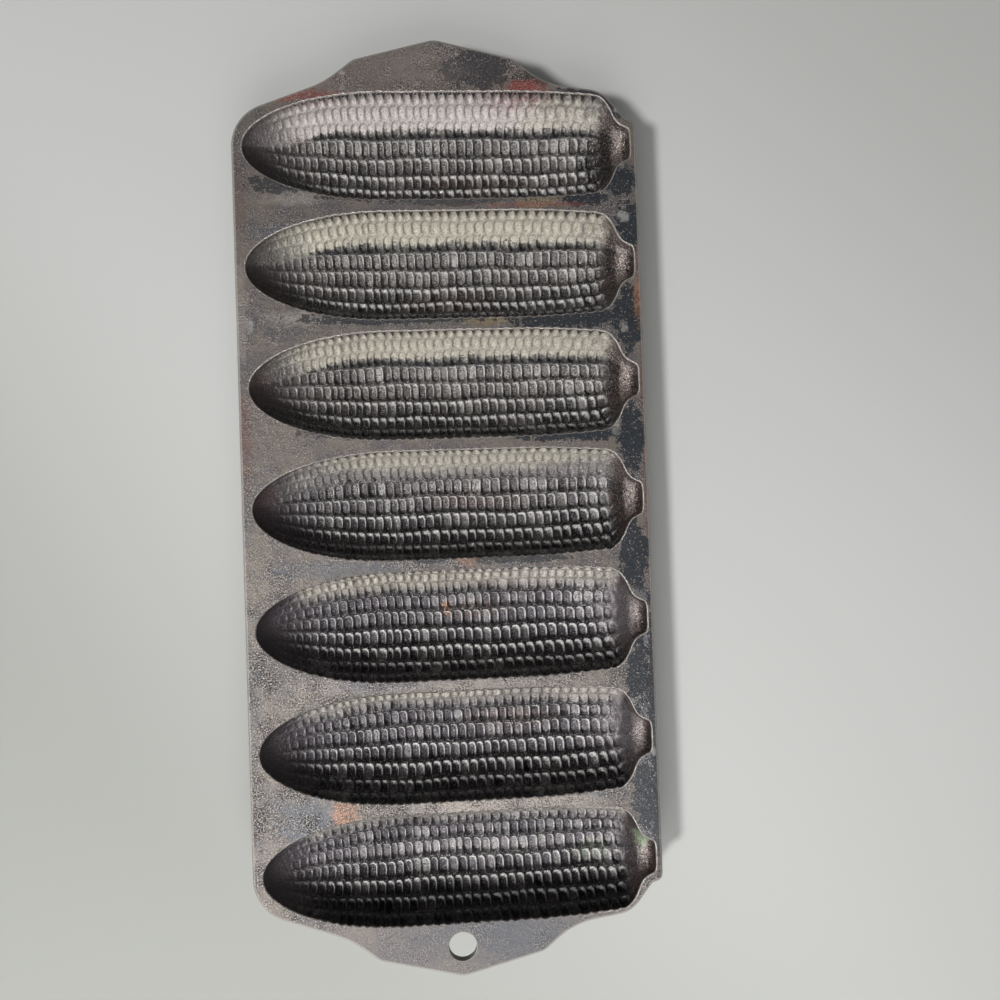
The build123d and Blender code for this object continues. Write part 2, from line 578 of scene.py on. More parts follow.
    def inside(self, mesher: Mesher, draws: np.random.Generator) -> tuple[np.ndarray, np.ndarray]:
        """Builds the inside of the mould up to where its lip begins to roll over.

        Args:
            mesher: The mesh that it goes into.
            draws: Where its random sizes come from.

        Returns:
            The point numbers of the rim, tip first and anticlockwise, and their places in plan.
        """
        form = self.kernels
        turns = self.row_lines(draws)
        pits, present = self.kernel_pits(draws)
        uneven = [slow_wave(self.along, form.sway_span, draws)[:, None] for _ in range(form.sway_waves)]
        sway = uneven[0] * np.sin(2 * turns) + uneven[1] * np.sin(3 * turns)
        lumps = draws.normal(size=pits.shape)
        for _ in range(form.grain_rounds):
            lumps = (lumps + np.roll(lumps, 1, 0) + np.roll(lumps, -1, 0)) / 3
            lumps = (2 * lumps + np.roll(lumps, 1, 1) + np.roll(lumps, -1, 1)) / 4
        lumps[:, [0, -1]] = 0
        swayed = form.sway * sway * eased(self.along, 0, form.sway_full_from)[:, None]
        grained = form.cast_grain * lumps / lumps.std() * eased(self.along, *form.grain_span)[:, None]
        push = form.depth * pits + swayed + grained
        rim_height = self.top - self.lip_round
        deep = np.clip(self.half * self.form.depth / self.form.half_width - self.lip_round, 0, None)
        y = self.axis_y - (self.half[:, None] + push) * np.cos(turns)
        z = rim_height - (deep[:, None] + push) * np.sin(turns)
        x = np.broadcast_to(self.tip_x + self.along[:, None], y.shape)
        places = np.stack([x, y, z], axis=-1)
        stem_x = self.tip_x + self.form.length
        ends = np.array([[end, self.axis_y, rim_height] for end in (self.tip_x, stem_x)])
        self.grid_start = mesher.count + len(ends)
        rim = mesher.shell(ends, places[1:-1])
        self.pits, self.present = pits[1:-1], present[1:-1]
        return rim, np.concatenate(mesher.points)[rim, :2]

    def smooth_loop(self) -> np.ndarray:
        """The ear's outline in plan without its kernels.

        Returns:
            Its points, tip first and anticlockwise.
        """
        near = np.stack([self.tip_x + self.along, self.axis_y - self.half], axis=1)
        far = np.stack([self.tip_x + self.along, self.axis_y + self.half], axis=1)
        return np.concatenate([near, far[-2:0:-1]])

    def lip(self, mesher: Mesher, rim: np.ndarray, plan: np.ndarray) -> np.ndarray:
        """Rolls the lip over onto the deck and drops its hidden edge to the deck's underside.

        Args:
            mesher: The mesh that it goes into.
            rim: The point numbers of the rim.
            plan: Their places in plan.

        Returns:
            The point numbers of the loop at the deck's underside.
        """
        out = outward(self.smooth_loop())
        before = rim
        self.lip_start = mesher.count
        for step in range(1, self.lip_steps + 1):
            turn = math.pi / 2 * step / self.lip_steps
            loop = plan + out * self.lip_round * (1 - math.cos(turn))
            ring = mesher.add(raised(loop, self.top - self.lip_round * (1 - math.sin(turn))))
            mesher.band(before, ring)
            before = ring
        self.lip_end = mesher.count
        self.lip_loop = loop
        low = mesher.add(raised(loop, self.top - self.deck_thickness))
        mesher.band(before, low)
        mesher.crease(before)
        mesher.crease(low)
        return low

    def bowl(self, mesher: Mesher) -> np.ndarray:
        """Builds the outside of the mould, from the deck's underside to its flat foot.

        Args:
            mesher: The mesh that it goes into.

        Returns:
            The point numbers of its loop at the deck's underside.
        """
        loop = self.smooth_loop()
        grown = (loop + outward(loop) * self.side_wall)[: len(self.along)]
        x, half = grown[:, 0], self.axis_y - grown[:, 1]
        ratio = (self.top + self.foot_cut) / (self.form.half_width + self.side_wall)
        least = self.deck_thickness / ratio
        under = np.sqrt(np.clip(half**2 - least**2, 0, None))
        inner = np.flatnonzero(half > least)
        ends = slice(inner[0] - 1, inner[-1] + 2)
        x, half, under = x[ends], np.maximum(half[ends], least), under[ends]
        walked = np.concatenate([[0], np.cumsum(np.hypot(np.diff(x), np.diff(under)))])
        at = np.linspace(0, walked[-1], int(walked[-1] / self.bowl_step) + 1)
        x, half = np.interp(at, walked, x), np.interp(at, walked, half)
        start = np.arcsin(np.clip(least / half[1:-1], 0, 1))[:, None]
        turns = start + (math.pi - 2 * start) * np.linspace(0, 1, self.bowl_lines + 1)
        height = self.top - self.deck_thickness
        y = self.axis_y - half[1:-1, None] * np.cos(turns)
        z = np.clip(self.top - half[1:-1, None] * ratio * np.sin(turns), 0, height)
        ends = np.array([[end, self.axis_y, height] for end in (x[0], x[-1])])
        return mesher.shell(ends, np.stack([np.broadcast_to(x[1:-1, None], y.shape), y, z], axis=-1))

    def note_places(self, made: bpy.types.Object) -> None:
        """Writes on the mesh where each point of the inside lies, for the finish to read.

        Args:
            made: The mould's object.
        """
        notes = {
            "pit": self.pits,
            **{name: found[1:-1] for name, found in self.notes.items()},
            "kernels": np.broadcast_to(self.present[:, None], self.pits.shape),
            "along": np.broadcast_to(self.along[1:-1, None] / self.form.length, self.pits.shape),
            "across": np.broadcast_to(self.row_places(), self.pits.shape),
            "ear": np.full(self.pits.shape, self.number),
            "inside": np.ones(self.pits.shape),
        }
        for name, values in notes.items():
            whole = np.zeros(len(made.data.vertices), dtype=np.float32)
            whole[self.grid_start:self.grid_start + values.size] = values.ravel()
            made.data.attributes.new(name, "FLOAT", "POINT").data.foreach_set("value", whole)
        lip = np.zeros(len(made.data.vertices), dtype=np.float32)
        lip[self.lip_start:self.lip_end] = 1
        made.data.attributes.new("lip", "FLOAT", "POINT").data.foreach_set("value", lip)

    def build(self) -> bpy.types.Object:
        """Builds the mould as one closed mesh.

        Returns:
            Its object, which stands for the mould's node.
        """
        draws = np.random.default_rng(self.seed + self.number)
        mesher = Mesher()
        rim, plan = self.inside(mesher, draws)
        low = self.lip(mesher, rim, plan)
        foot = self.bowl(mesher)
        mesher.crease(foot)
        mesher.fill(foot, low)
        made = mesher.to_object(f"ear_mould_{self.number}")
        self.note_places(made)
        return made


@dataclass
class DeckCasting:
    """The flat plate round the moulds, in three pieces: the deck and the tab at each end."""

    half_width: float
    half_length: float
    tab_line: float
    top: float
    lip_loops: list[np.ndarray]
    thickness: float = 3.0 * MM
    top_round: float = 1.1 * MM
    bottom_round: float = 0.5 * MM
    round_steps: int = 6
    edge_step: float = 2.0 * MM
    edge_wobble: float = 0.1 * MM
    edge_wave_counts: tuple[int, ...] = (9, 17, 31, 53)
    tab_point_round: float = 9 * MM
    shoulder_half_span: float = 29.3 * MM
    shoulder_drop: float = 7 * MM
    shoulder_round: float = 7 * MM
    root_half_span: float = 40 * MM
    tip_root_rise: float = 2 * MM
    tip_root_round: float = 33 * MM
    stem_root_rise: float = 1.2 * MM
    stem_root_round: float = 28 * MM
    tip_corner_drop: float = 10 * MM
    tip_corner_round: float = 16 * MM
    butt_corner_inset: float = 12 * MM
    butt_corner_drop: float = 1.7 * MM
    butt_corner_round: float = 12 * MM
    stem_step_inset: float = 3.9 * MM
    stem_step_drop: float = 11.7 * MM
    stem_step_round: float = 2 * MM
    stem_corner_drop: float = 12.7 * MM
    stem_corner_round: float = 3 * MM
    hang_hole_radius: float = 5 * MM
    hang_hole_setback: float = 10.7 * MM
    hang_hole_round: float = 0.3 * MM
    hang_hole_sides: int = 72
    cut_reach: float = 1e-4 * MM
    side_reach: float = 1e-3 * MM
    seed: int = 4

    def corners(self) -> list[tuple[float, float, float]]:
        """The outline's corners with their rounds.

        Returns:
            Each corner's place and the radius of its round, anticlockwise from the plain end's stem side.
        """
        slope = self.shoulder_drop / self.shoulder_half_span
        point_rise = self.tab_point_round * (math.sqrt(1 + slope**2) - 1)
        wide, line, shoulder_y = self.half_width, self.tab_line, self.half_length - self.shoulder_drop
        plain = [
            (wide, line - self.stem_corner_drop, self.stem_corner_round),
            (wide - self.stem_step_inset, line - self.stem_step_drop, self.stem_step_round),
            (wide - self.butt_corner_inset, line - self.butt_corner_drop, self.butt_corner_round),
            (self.root_half_span, line + self.stem_root_rise, self.stem_root_round),
            (self.shoulder_half_span, shoulder_y, self.shoulder_round),
            (0, self.half_length + point_rise, self.tab_point_round),
            (-self.shoulder_half_span, shoulder_y, self.shoulder_round),
            (-self.root_half_span, line + self.tip_root_rise, self.tip_root_round),
            (-wide, line - self.tip_corner_drop, self.tip_corner_round),
        ]
        return plain + [(x, -y, turn) for x, y, turn in reversed(plain)]

    def outline(self) -> np.ndarray:
        """The casting's outline in plan: straight runs and rounds, in short steps.

        Returns:
            Its points, anticlockwise.
        """
        corners = self.corners()
        places = []
        for number, (x, y, turn_round) in enumerate(corners):
            corner = Vector((x, y))
            before = (Vector(corners[number - 1][:2]) - corner).normalized()
            after = (Vector(corners[(number + 1) % len(corners)][:2]) - corner).normalized()
            half = before.angle(after) / 2
            reach = turn_round / math.tan(half)
            start, end = corner + before * reach, corner + after * reach
            centre = corner + (before + after).normalized() * turn_round / math.sin(half)
            count = max(3, int(turn_round * (math.pi - 2 * half) / (self.edge_step / 2)))
            for step in range(count + 1):
                share = step / count
                spoke = (start - centre).slerp(end - centre, share)
                places.append(tuple(centre + spoke.normalized() * turn_round))
        return self.evenly(np.array(places))

    def evenly(self, loop: np.ndarray) -> np.ndarray:
        """Adds points along a closed loop's long runs, so that no step is longer than the edge step.

        Args:
            loop: The loop's points in plan.

        Returns:
            The loop with the points added.
        """
        parts = []
        for first, second in zip(loop, np.roll(loop, -1, axis=0)):
            count = max(1, math.ceil(np.linalg.norm(second - first) / self.edge_step))
            parts.append(first + (second - first) * np.arange(count)[:, None] / count)
        return np.concatenate(parts)

    def worn_outline(self) -> tuple[np.ndarray, np.ndarray]:
        """The outline with the slight waves of a cast and ground edge.

        Returns:
            Its points, and the directions outward at each.
        """
        plain = self.outline()
        out = outward(plain)
        steps = np.linalg.norm(np.roll(plain, -1, axis=0) - plain, axis=1)
        walked = np.concatenate([[0], np.cumsum(steps)[:-1]]) / steps.sum()
        draws = np.random.default_rng(self.seed)
        waves = np.zeros(len(plain))
        for count in self.edge_wave_counts:
            waves += np.sin(2 * math.pi * (count * walked + draws.uniform())) / len(self.edge_wave_counts)
        inset = self.edge_wobble * (waves + 1) / 2
        widest = np.abs(plain[:, 0]) > self.half_width - self.side_reach
        kept = widest & (np.abs(plain[:, 1]) < self.edge_step)
        return plain - out * np.where(kept, 0, inset)[:, None], out

    def roll(
        self, mesher: Mesher, loop: np.ndarray, out: np.ndarray, top_round: float, bottom_round: float
    ) -> tuple[np.ndarray, np.ndarray]:
        """Builds a rounded edge from the deck's top to its underside.

        Args:
            mesher: The mesh that the edge goes into.
            loop: The edge's furthest line in plan.
            out: The directions in plan away from the metal.
            top_round: The radius of the round at the top.
            bottom_round: The radius of the round at the bottom.

        Returns:
            The point numbers of the top loop and of the bottom loop.
        """
        low = self.top - self.thickness
        rings = []
        for step in range(self.round_steps + 1):
            turn = math.pi / 2 * step / self.round_steps
            back, drop = top_round * (1 - math.sin(turn)), top_round * (1 - math.cos(turn))
            rings.append(mesher.add(raised(loop - out * back, self.top - drop)))
        for step in range(self.round_steps + 1):
            turn = math.pi / 2 * step / self.round_steps
            back, rise = bottom_round * (1 - math.cos(turn)), bottom_round * (1 - math.sin(turn))
            rings.append(mesher.add(raised(loop - out * back, low + rise)))
        for first, second in zip(rings[:-1], rings[1:]):
            mesher.band(first, second)
        return rings[0], rings[-1]

    def whole(self) -> bpy.types.Object:
        """Builds the casting's plate in one, with the moulds' openings and the hang hole.

        Returns:
            Its object.
        """
        mesher = Mesher()
        tops, bottoms = [], []
        for loop, out, top_round, bottom_round in [
            (*self.worn_outline(), self.top_round, self.bottom_round),
            (*self.hang_hole(), self.hang_hole_round, self.hang_hole_round),
        ]:
            top, bottom = self.roll(mesher, loop, out, top_round, bottom_round)
            tops.append(top)
            bottoms.append(bottom)
        self.edge_end = mesher.count
        for loop in self.lip_loops:
            top = mesher.add(raised(loop, self.top))
            bottom = mesher.add(raised(loop, self.top - self.thickness))
            mesher.band(top, bottom)
            tops.append(top)
            bottoms.append(bottom)
        for level in (tops, bottoms):
            mesher.fill(*level)
            for loop in level:
                mesher.crease(loop)
        made = mesher.to_object("deck_casting")
        edge = np.zeros(mesher.count, dtype=np.float32)
        edge[:self.edge_end] = 1
        edge[np.concatenate(tops[:2] + bottoms[:2])] = 0
        made.data.attributes.new("edge", "FLOAT", "POINT").data.foreach_set("value", edge)
        return made

    def hang_hole(self) -> tuple[np.ndarray, np.ndarray]:
        """The hang hole's line in plan.

        Returns:
            Its points, and the directions away from the metal at each.
        """
        turns = np.linspace(0, 2 * math.pi, self.hang_hole_sides, endpoint=False)
        spokes = np.stack([np.cos(turns), np.sin(turns)], axis=1)
        centre = np.array([0, self.hang_hole_setback - self.half_length])
        return centre + spokes * self.hang_hole_radius, -spokes

    def part(self, whole: bpy.types.Object, name: str, cuts: list[tuple[float, float]]) -> bpy.types.Object:
        """Cuts one piece out of the whole plate and closes it.

        Args:
            whole: The plate in one.
            name: The new piece's name.
            cuts: Each cut's place along Y, and 1 or -1 for the side that is kept, towards +Y or -Y.

        Returns:
            The new piece's object.
        """
        cut_mesh = bmesh.new()
        cut_mesh.from_mesh(whole.data)
        for place, side in cuts:
            geometry = [*cut_mesh.verts, *cut_mesh.edges, *cut_mesh.faces]
            found = bmesh.ops.bisect_plane(
                cut_mesh, geom=geometry, dist=self.cut_reach, clear_inner=True,
                plane_co=(0, place, 0), plane_no=(0, side, 0),
            )
            edges = [item for item in found["geom_cut"] if isinstance(item, bmesh.types.BMEdge)]
            bmesh.ops.contextual_create(cut_mesh, geom=edges)
            for edge in edges:
                edge.smooth = False
        mesh = bpy.data.meshes.new(name)
        cut_mesh.to_mesh(mesh)
        cut_mesh.free()
        made = bpy.data.objects.new(name, mesh)
        bpy.context.scene.collection.objects.link(made)
        return made

    def build(self) -> dict[str, bpy.types.Object]:
        """Builds the three pieces.

        Returns:
            Each piece's object, by the node that it stands for.
        """
        whole = self.whole()
        line = self.tab_line
        made = {
            "deck_plate": self.part(whole, "deck", [(line, -1), (-line, 1)]),
            "handle_tab_plain": self.part(whole, "tab_plain", [(line, 1)]),
            "handle_tab_hang_hole": self.part(whole, "tab_with_hang_hole", [(-line, -1)]),
        }
        bpy.data.objects.remove(whole)
        return made


class Wire:
    """One output socket of a node tree, in which Python sums add Math nodes."""

    def __init__(self, tree: "NodeTree", socket: bpy.types.NodeSocket) -> None:
        """Wraps a socket of a tree."""
        self.tree, self.socket = tree, socket

    def sum(self, operation: str, *others: "float | Wire", first: "float | Wire | None" = None) -> "Wire":
        """The result of a Math node that takes this and the others, or the first one before this."""
        values = [self, *others] if first is None else [first, self, *others]
        return self.tree.make("ShaderNodeMath", {"operation": operation}, dict(enumerate(values)))

    def __add__(self, other: "float | Wire") -> "Wire":
        """This plus another."""
        return self.sum("ADD", other)

    def __radd__(self, other: float) -> "Wire":
        """A number plus this."""
        return self.sum("ADD", other)

    def __sub__(self, other: "float | Wire") -> "Wire":
        """This less another."""
        return self.sum("SUBTRACT", other)

    def __rsub__(self, other: float) -> "Wire":
        """A number less this."""
        return self.sum("SUBTRACT", first=other)

    def __mul__(self, other: "float | Wire") -> "Wire":
        """This times another."""
        return self.sum("MULTIPLY", other)

    def __rmul__(self, other: float) -> "Wire":
        """A number times this."""
        return self.sum("MULTIPLY", other)

    def most(self, other: "float | Wire") -> "Wire":
        """The larger of this and another."""
        return self.sum("MAXIMUM", other)

    def least(self, other: "float | Wire") -> "Wire":
        """The smaller of this and another."""
        return self.sum("MINIMUM", other)

    def size(self) -> "Wire":
        """This without its sign."""
        return self.sum("ABSOLUTE")

    def climb(self, low: float, high: float) -> "Wire":
        """A smooth climb from 0 to 1.

        Args:
            low: What this is where the climb is 0.
            high: What this is where the climb is 1, which may be the smaller of the two.

        Returns:
            The climb.
        """
        swapped = low > high
        ends = {"From Min": min(low, high), "From Max": max(low, high)}
        levels = {"To Min": 1.0 if swapped else 0.0, "To Max": 0.0 if swapped else 1.0}
        settings = {"interpolation_type": "SMOOTHSTEP"}
        return self.tree.make("ShaderNodeMapRange", settings, {"Value": self, **ends, **levels}, "Result")


@dataclass(frozen=True)
class Noise:
    """A cloudy noise from 0 to 1, mostly near a half.

    Size is that of its lumps, detail the number of its finer layers and rough how strong they are. Shift is
    how far along it is read, so that two noises differ.
    """

    size: float
    detail: float = 2.0
    rough: float = 0.5
    shift: float = 0.0


class NodeTree:
    """A node tree that is being made."""

    def __init__(self, tree: bpy.types.NodeTree) -> None:
        """Empties the tree."""
        self.tree = tree
        tree.nodes.clear()

    def make(
        self, kind: str, settings: dict | None = None, sockets: dict | None = None, output: int | str = 0
    ) -> Wire:
        """Makes a node.

        Args:
            kind: The node's type.
            settings: Its properties, which are set first.
            sockets: Values or wires for its input sockets, by name or number.
            output: The output socket to give back.

        Returns:
            That output socket.
        """
        node = self.tree.nodes.new(kind)
        for name, value in (settings or {}).items():
            setattr(node, name, value)
        for name, value in (sockets or {}).items():
            if isinstance(value, Wire):
                self.tree.links.new(value.socket, node.inputs[name])
            else:
                node.inputs[name].default_value = value
        return Wire(self, node.outputs[output]) if node.outputs else Wire(self, None)

    def places(self) -> Wire:
        """The point's place in the pan's own frame."""
        return self.make("ShaderNodeTexCoord", output="Object")

    def axis(self, at: Wire, name: str) -> Wire:
        """One coordinate of a place."""
        return self.make("ShaderNodeSeparateXYZ", sockets={"Vector": at}, output=name)

    def note(self, name: str) -> Wire:
        """A value that the mesh holds at each of its points."""
        return self.make("ShaderNodeAttribute", {"attribute_name": name}, output="Fac")

    def joined(self, x: Wire, y: Wire, z: Wire) -> Wire:
        """The place with three coordinates."""
        return self.make("ShaderNodeCombineXYZ", sockets={"X": x, "Y": y, "Z": z})

    def noise(self, at: Wire, form: Noise) -> Wire:
        """Reads a noise at a place.

        Args:
            at: The place.
            form: What the noise is like.

        Returns:
            The noise's value.
        """
        start = (form.shift, form.shift, form.shift)
        moved = self.make("ShaderNodeVectorMath", {"operation": "ADD"}, {0: at, 1: start})
        sockets = {"Vector": moved, "Scale": 1 / form.size, "Detail": form.detail, "Roughness": form.rough}
        return self.make("ShaderNodeTexNoise", sockets=sockets, output="Fac")

    def blend(self, share: "float | Wire", low: "Colour | Wire", high: "Colour | Wire") -> Wire:
        """A colour between two others.

        Args:
            share: 0 for the first colour and 1 for the second.
            low: The first colour.
            high: The second colour.

        Returns:
            The colour between them.
        """
        colours = [c if isinstance(c, Wire) else (*c, 1) for c in (low, high)]
        sockets = {"Factor": share, 6: colours[0], 7: colours[1]}
        return self.make("ShaderNodeMix", {"data_type": "RGBA"}, sockets, output=2)

    def bump(self, height: Wire, lift: float, strength: float) -> Wire:
        """The normal of a surface with a height from 0 to 1, where 1 lies the lift above 0."""
        sockets = {"Height": height, "Distance": lift, "Strength": strength}
        return self.make("ShaderNodeBump", sockets=sockets, output="Normal")


@dataclass(frozen=True)
class Mark:
    """A stain or patch: an uneven oval about a place on the pan, with its lengths in millimetres."""

    kind: MarkKind
    x: float
    y: float
    reach_x: float
    reach_y: float
    strength: float = 1.0

    def share(self, tree: NodeTree, at: Wire, ragged: Wire) -> Wire:
        """How much of the mark lies at each point.

        Args:
            tree: The finish's tree.
            at: The point's place.
            ragged: An uneven value about 0 that frays its edge.

        Returns:
            Its share, from 0 outside to its strength inside.
        """
        rates = (1 / (self.reach_x * MM), 1 / (self.reach_y * MM), 0)
        shift = (-self.x / self.reach_x, -self.y / self.reach_y, 0)
        moved = tree.make("ShaderNodeVectorMath", {"operation": "MULTIPLY_ADD"}, {0: at, 1: rates, 2: shift})
        away = tree.make("ShaderNodeVectorMath", {"operation": "LENGTH"}, {0: moved}, "Value")
        edge = self.kind.softness
        return (away + ragged).climb(1 + edge, 1 - edge) * self.strength


@dataclass
class Coat:
    """A finish in the making: what it reads at each point, and a colour that is laid on layer by layer.

    Its noises run from 0 to 1, mostly near a half. Clouds has the largest lumps, frayed has middling ones
    that fray the edges of layers, and grain has the finest.
    """

    tree: NodeTree
    at: Wire
    clouds: Wire
    frayed: Wire
    grain: Wire
    ragged: Wire
    colour: Wire

    def lay(self, share: Wire, colour: "Colour | Wire") -> None:
        """Lays a colour over what is there, by its share at each point."""
        self.colour = self.tree.blend(share, self.colour, colour)

    def share(self, mark: Mark) -> Wire:
        """How much of a mark lies at each point, with a ragged edge."""
        return mark.share(self.tree, self.at, self.ragged)

    def stain(self, marks: tuple[Mark, ...]) -> None:
        """Lays marks over what is there, the first of them lowest."""
        for mark in marks:
            self.lay(self.share(mark), mark.kind.colour)


DECK_MARKS = (
    Mark(MarkKind.TARNISH, 22, -154, 20, 9, 0.5),
    Mark(MarkKind.TARNISH, -53, -111, 11, 8, 0.9),
    Mark(MarkKind.TARNISH, -23, -63, 19, 3, 0.8),
    Mark(MarkKind.TARNISH, 52, -105, 7, 3, 0.8),
    Mark(MarkKind.TARNISH, -40, -22, 22, 3, 0.6),
    Mark(MarkKind.TARNISH, -58, 98, 6, 4, 0.6),
    Mark(MarkKind.BROWN, 72.9, -8, 1.6, 124, 0.85),
    Mark(MarkKind.BROWN, 2, 155, 42, 8, 0.3),
    Mark(MarkKind.OCHRE, 35, 109, 8, 3, 0.7),
    Mark(MarkKind.OCHRE, 17, 67, 10, 2.6, 0.8),
    Mark(MarkKind.BARE, 12, -108, 34, 3, 0.4),
    Mark(MarkKind.BARE, 14, -65, 34, 2.4, 0.25),
    Mark(MarkKind.TARNISH, 69, -84, 5, 56, 0.95),
    Mark(MarkKind.TARNISH, 0, -159, 36, 9, 0.25),
    Mark(MarkKind.TARNISH, -3, -151, 20, 6, 0.4),
    Mark(MarkKind.TARNISH, 20, -156, 15, 8, 0.35),
    Mark(MarkKind.BROWN, -71.5, 113, 3, 14, 0.35),
    Mark(MarkKind.BARE, -71.8, 67, 2.6, 14, 0.25),
    Mark(MarkKind.BROWN, -71.5, 24, 2.8, 16, 0.75),
    Mark(MarkKind.TARNISH, -70.5, -64, 3, 12, 0.35),
    Mark(MarkKind.BARE, -50, 111, 9, 2.4, 0.3),
    Mark(MarkKind.BARE, -52, 68, 10, 2.6, 0.3),
    Mark(MarkKind.SEASONING, 15.5, 157.5, 12.5, 7.5, 0.75),
    Mark(MarkKind.SEASONING, 71.8, -90, 2.2, 46, 0.95),
    Mark(MarkKind.BARE, -4, 158, 16, 5, 0.12),
    Mark(MarkKind.BARE, -50, -64, 10, 3, 0.2),
    Mark(MarkKind.SEASONING, -56, 116.5, 10, 3, 0.8),
    Mark(MarkKind.SEASONING, 4, 110, 25, 2.2, 0.65),
    Mark(MarkKind.SEASONING, 54, 110, 9, 3.2),
    Mark(MarkKind.SEASONING, 67, 116, 5.5, 6.5),
    Mark(MarkKind.SEASONING, 69, 100, 4.5, 9),
    Mark(MarkKind.SEASONING, 57, 147, 13, 3.5, 0.9),
    Mark(MarkKind.SEASONING, 67, 143, 5, 4, 0.9),
    Mark(MarkKind.SEASONING, -18, 67.5, 31, 2.4, 0.85),
    Mark(MarkKind.SEASONING, 50, 66, 23, 3.6),
    Mark(MarkKind.SEASONING, 67.5, 66, 5, 12),
    Mark(MarkKind.SEASONING, -30, 26.5, 19, 1.8, 0.7),
    Mark(MarkKind.SEASONING, 48, 24, 20, 2.4),
    Mark(MarkKind.SEASONING, 67.5, 23, 4.6, 13),
    Mark(MarkKind.SEASONING, 24, -20.5, 15, 1.5, 0.8),
    Mark(MarkKind.SEASONING, -7, -20, 6, 1.2, 0.8),
    Mark(MarkKind.SEASONING, 66.5, -20, 5, 11),
    Mark(MarkKind.SEASONING, 66.5, -64, 4.4, 12),
    Mark(MarkKind.SEASONING, 67, -107, 4, 12, 0.9),
    Mark(MarkKind.PITTING, 0, 158, 7, 2.2, 0.15),
    Mark(MarkKind.PITTING, 36, 154, 8, 3, 0.7),
    Mark(MarkKind.PITTING, -30, 111.5, 12, 1.2, 0.8),
    Mark(MarkKind.RED, -50, 148.3, 14, 1.8, 0.75),
    Mark(MarkKind.RED, 33, 150.4, 6.5, 2.8, 0.95),
    Mark(MarkKind.RED, 36, 107.8, 18, 0.8, 0.5),
    Mark(MarkKind.RUST, -40, -108, 4, 5.5, 0.75),
    Mark(MarkKind.RUST, 5.5, -19.8, 3, 2.8, 0.7),
    Mark(MarkKind.RUST, 71.5, 72, 1.3, 7, 0.7),
    Mark(MarkKind.RUST, 67.5, -132.5, 3, 4, 0.45),
    Mark(MarkKind.CRUST, -33, 156.2, 1.1, 0.9),
    Mark(MarkKind.CRUST, -33, 151.2, 0.9, 1.1, 0.9),
    Mark(MarkKind.CRUST, -6, 152, 1.3, 0.8, 0.8),
    Mark(MarkKind.CRUST, 48, 151.3, 0.8, 0.8),
    Mark(MarkKind.CRUST, 66.3, 142, 1.2, 1.2),
    Mark(MarkKind.CRUST, 67.5, 121.5, 1.0, 1.2, 0.8),
    Mark(MarkKind.CRUST, 67.4, 103, 1.9, 2.4),
    Mark(MarkKind.CRUST, 69.5, 82, 0.9, 2.0, 0.8),
    Mark(MarkKind.CRUST, 66, 63, 1.5, 1.9, 0.8),
    Mark(MarkKind.CRUST, 61.5, 27, 2.0, 3.4, 0.6),
    Mark(MarkKind.CRUST, -68, 66, 1.1, 3.0, 0.6),
    Mark(MarkKind.CRUST, 71, -92, 0.9, 1.6, 0.7),
)

# Pale films high on the far walls, partly a painted sheen where those walls face the lamps.
FILM_AND_SHEEN_MARKS = (
    Mark(MarkKind.PINK, -14, 141, 56, 12, 0.8),
    Mark(MarkKind.PINK, 24, 140, 34, 7, 0.6),
    Mark(MarkKind.CREAM, 46, 143, 16, 6, 0.5),
    Mark(MarkKind.CREAM, 0, 100, 70, 12, 0.8),
    Mark(MarkKind.CREAM, 4, 57, 70, 11, 0.7),
    Mark(MarkKind.CREAM, 4, 18, 62, 5, 0.6),
    Mark(MarkKind.CREAM, -24, -27, 38, 4, 0.45),
    Mark(MarkKind.PINK, 38, -26, 26, 4, 0.5),
    Mark(MarkKind.CREAM, -18, -69.5, 38, 2.2, 0.4),
    Mark(MarkKind.PINK, 48, -72, 12, 6, 0.3),
)

MOULD_MARKS = (
    Mark(MarkKind.LILAC, 55, -41, 8, 11, 0.35),
    Mark(MarkKind.LILAC, 54, -84, 9, 9, 0.35),
    # A painted sheen along the floor of the last ear.
    Mark(MarkKind.LILAC, 4, -130, 56, 4, 0.6),
    Mark(MarkKind.BROWN, 15, 123, 20, 4, 0.5),
    Mark(MarkKind.BROWN, 2, 77, 16, 3.4, 0.6),
    Mark(MarkKind.BROWN, 9, -40, 9, 3.6, 0.7),
    Mark(MarkKind.BROWN, 22, -82, 15, 4, 0.6),
    Mark(MarkKind.BROWN, 12, 2, 20, 4, 0.4),
    Mark(MarkKind.BROWN, -66.5, 44, 4, 5, 0.7),
    Mark(MarkKind.BROWN, -65.5, 4, 4, 5, 0.7),
    Mark(MarkKind.RED, -48, 147.5, 12, 1.5, 0.6),
    Mark(MarkKind.RED, 30, 148.4, 13, 1.3, 0.7),
    Mark(MarkKind.RUST, -2.4, -39.5, 1.7, 2.7),
    Mark(MarkKind.OCHRE, -12, -24.5, 9, 1.6, 0.4),
    Mark(MarkKind.GREEN, 51, -133.5, 7, 3.4, 0.45),
    Mark(MarkKind.GREEN, 31, -128, 2, 2, 0.3),
    Mark(MarkKind.RUST, 47, -113, 5, 1.7, 0.4),
    Mark(MarkKind.CRUST, 7, -134, 1.3, 1.3, 0.6),
    Mark(MarkKind.CRUST, 37, -91, 1.6, 1.3, 0.6),
)

STEM_MARKS = (
    Mark(MarkKind.PITTING, 61, 129, 5, 11, 0.8),
    Mark(MarkKind.PITTING, 58, 84, 5, 11, 0.25),
    Mark(MarkKind.LILAC, 61, -43, 7, 11, 0.48),
    Mark(MarkKind.LILAC, 61, -87, 7, 11, 0.52),
    Mark(MarkKind.LILAC, 61, -131, 7, 9, 0.25),
    Mark(MarkKind.GREEN, 66.8, -124.5, 2.4, 4.2, 0.9),
)


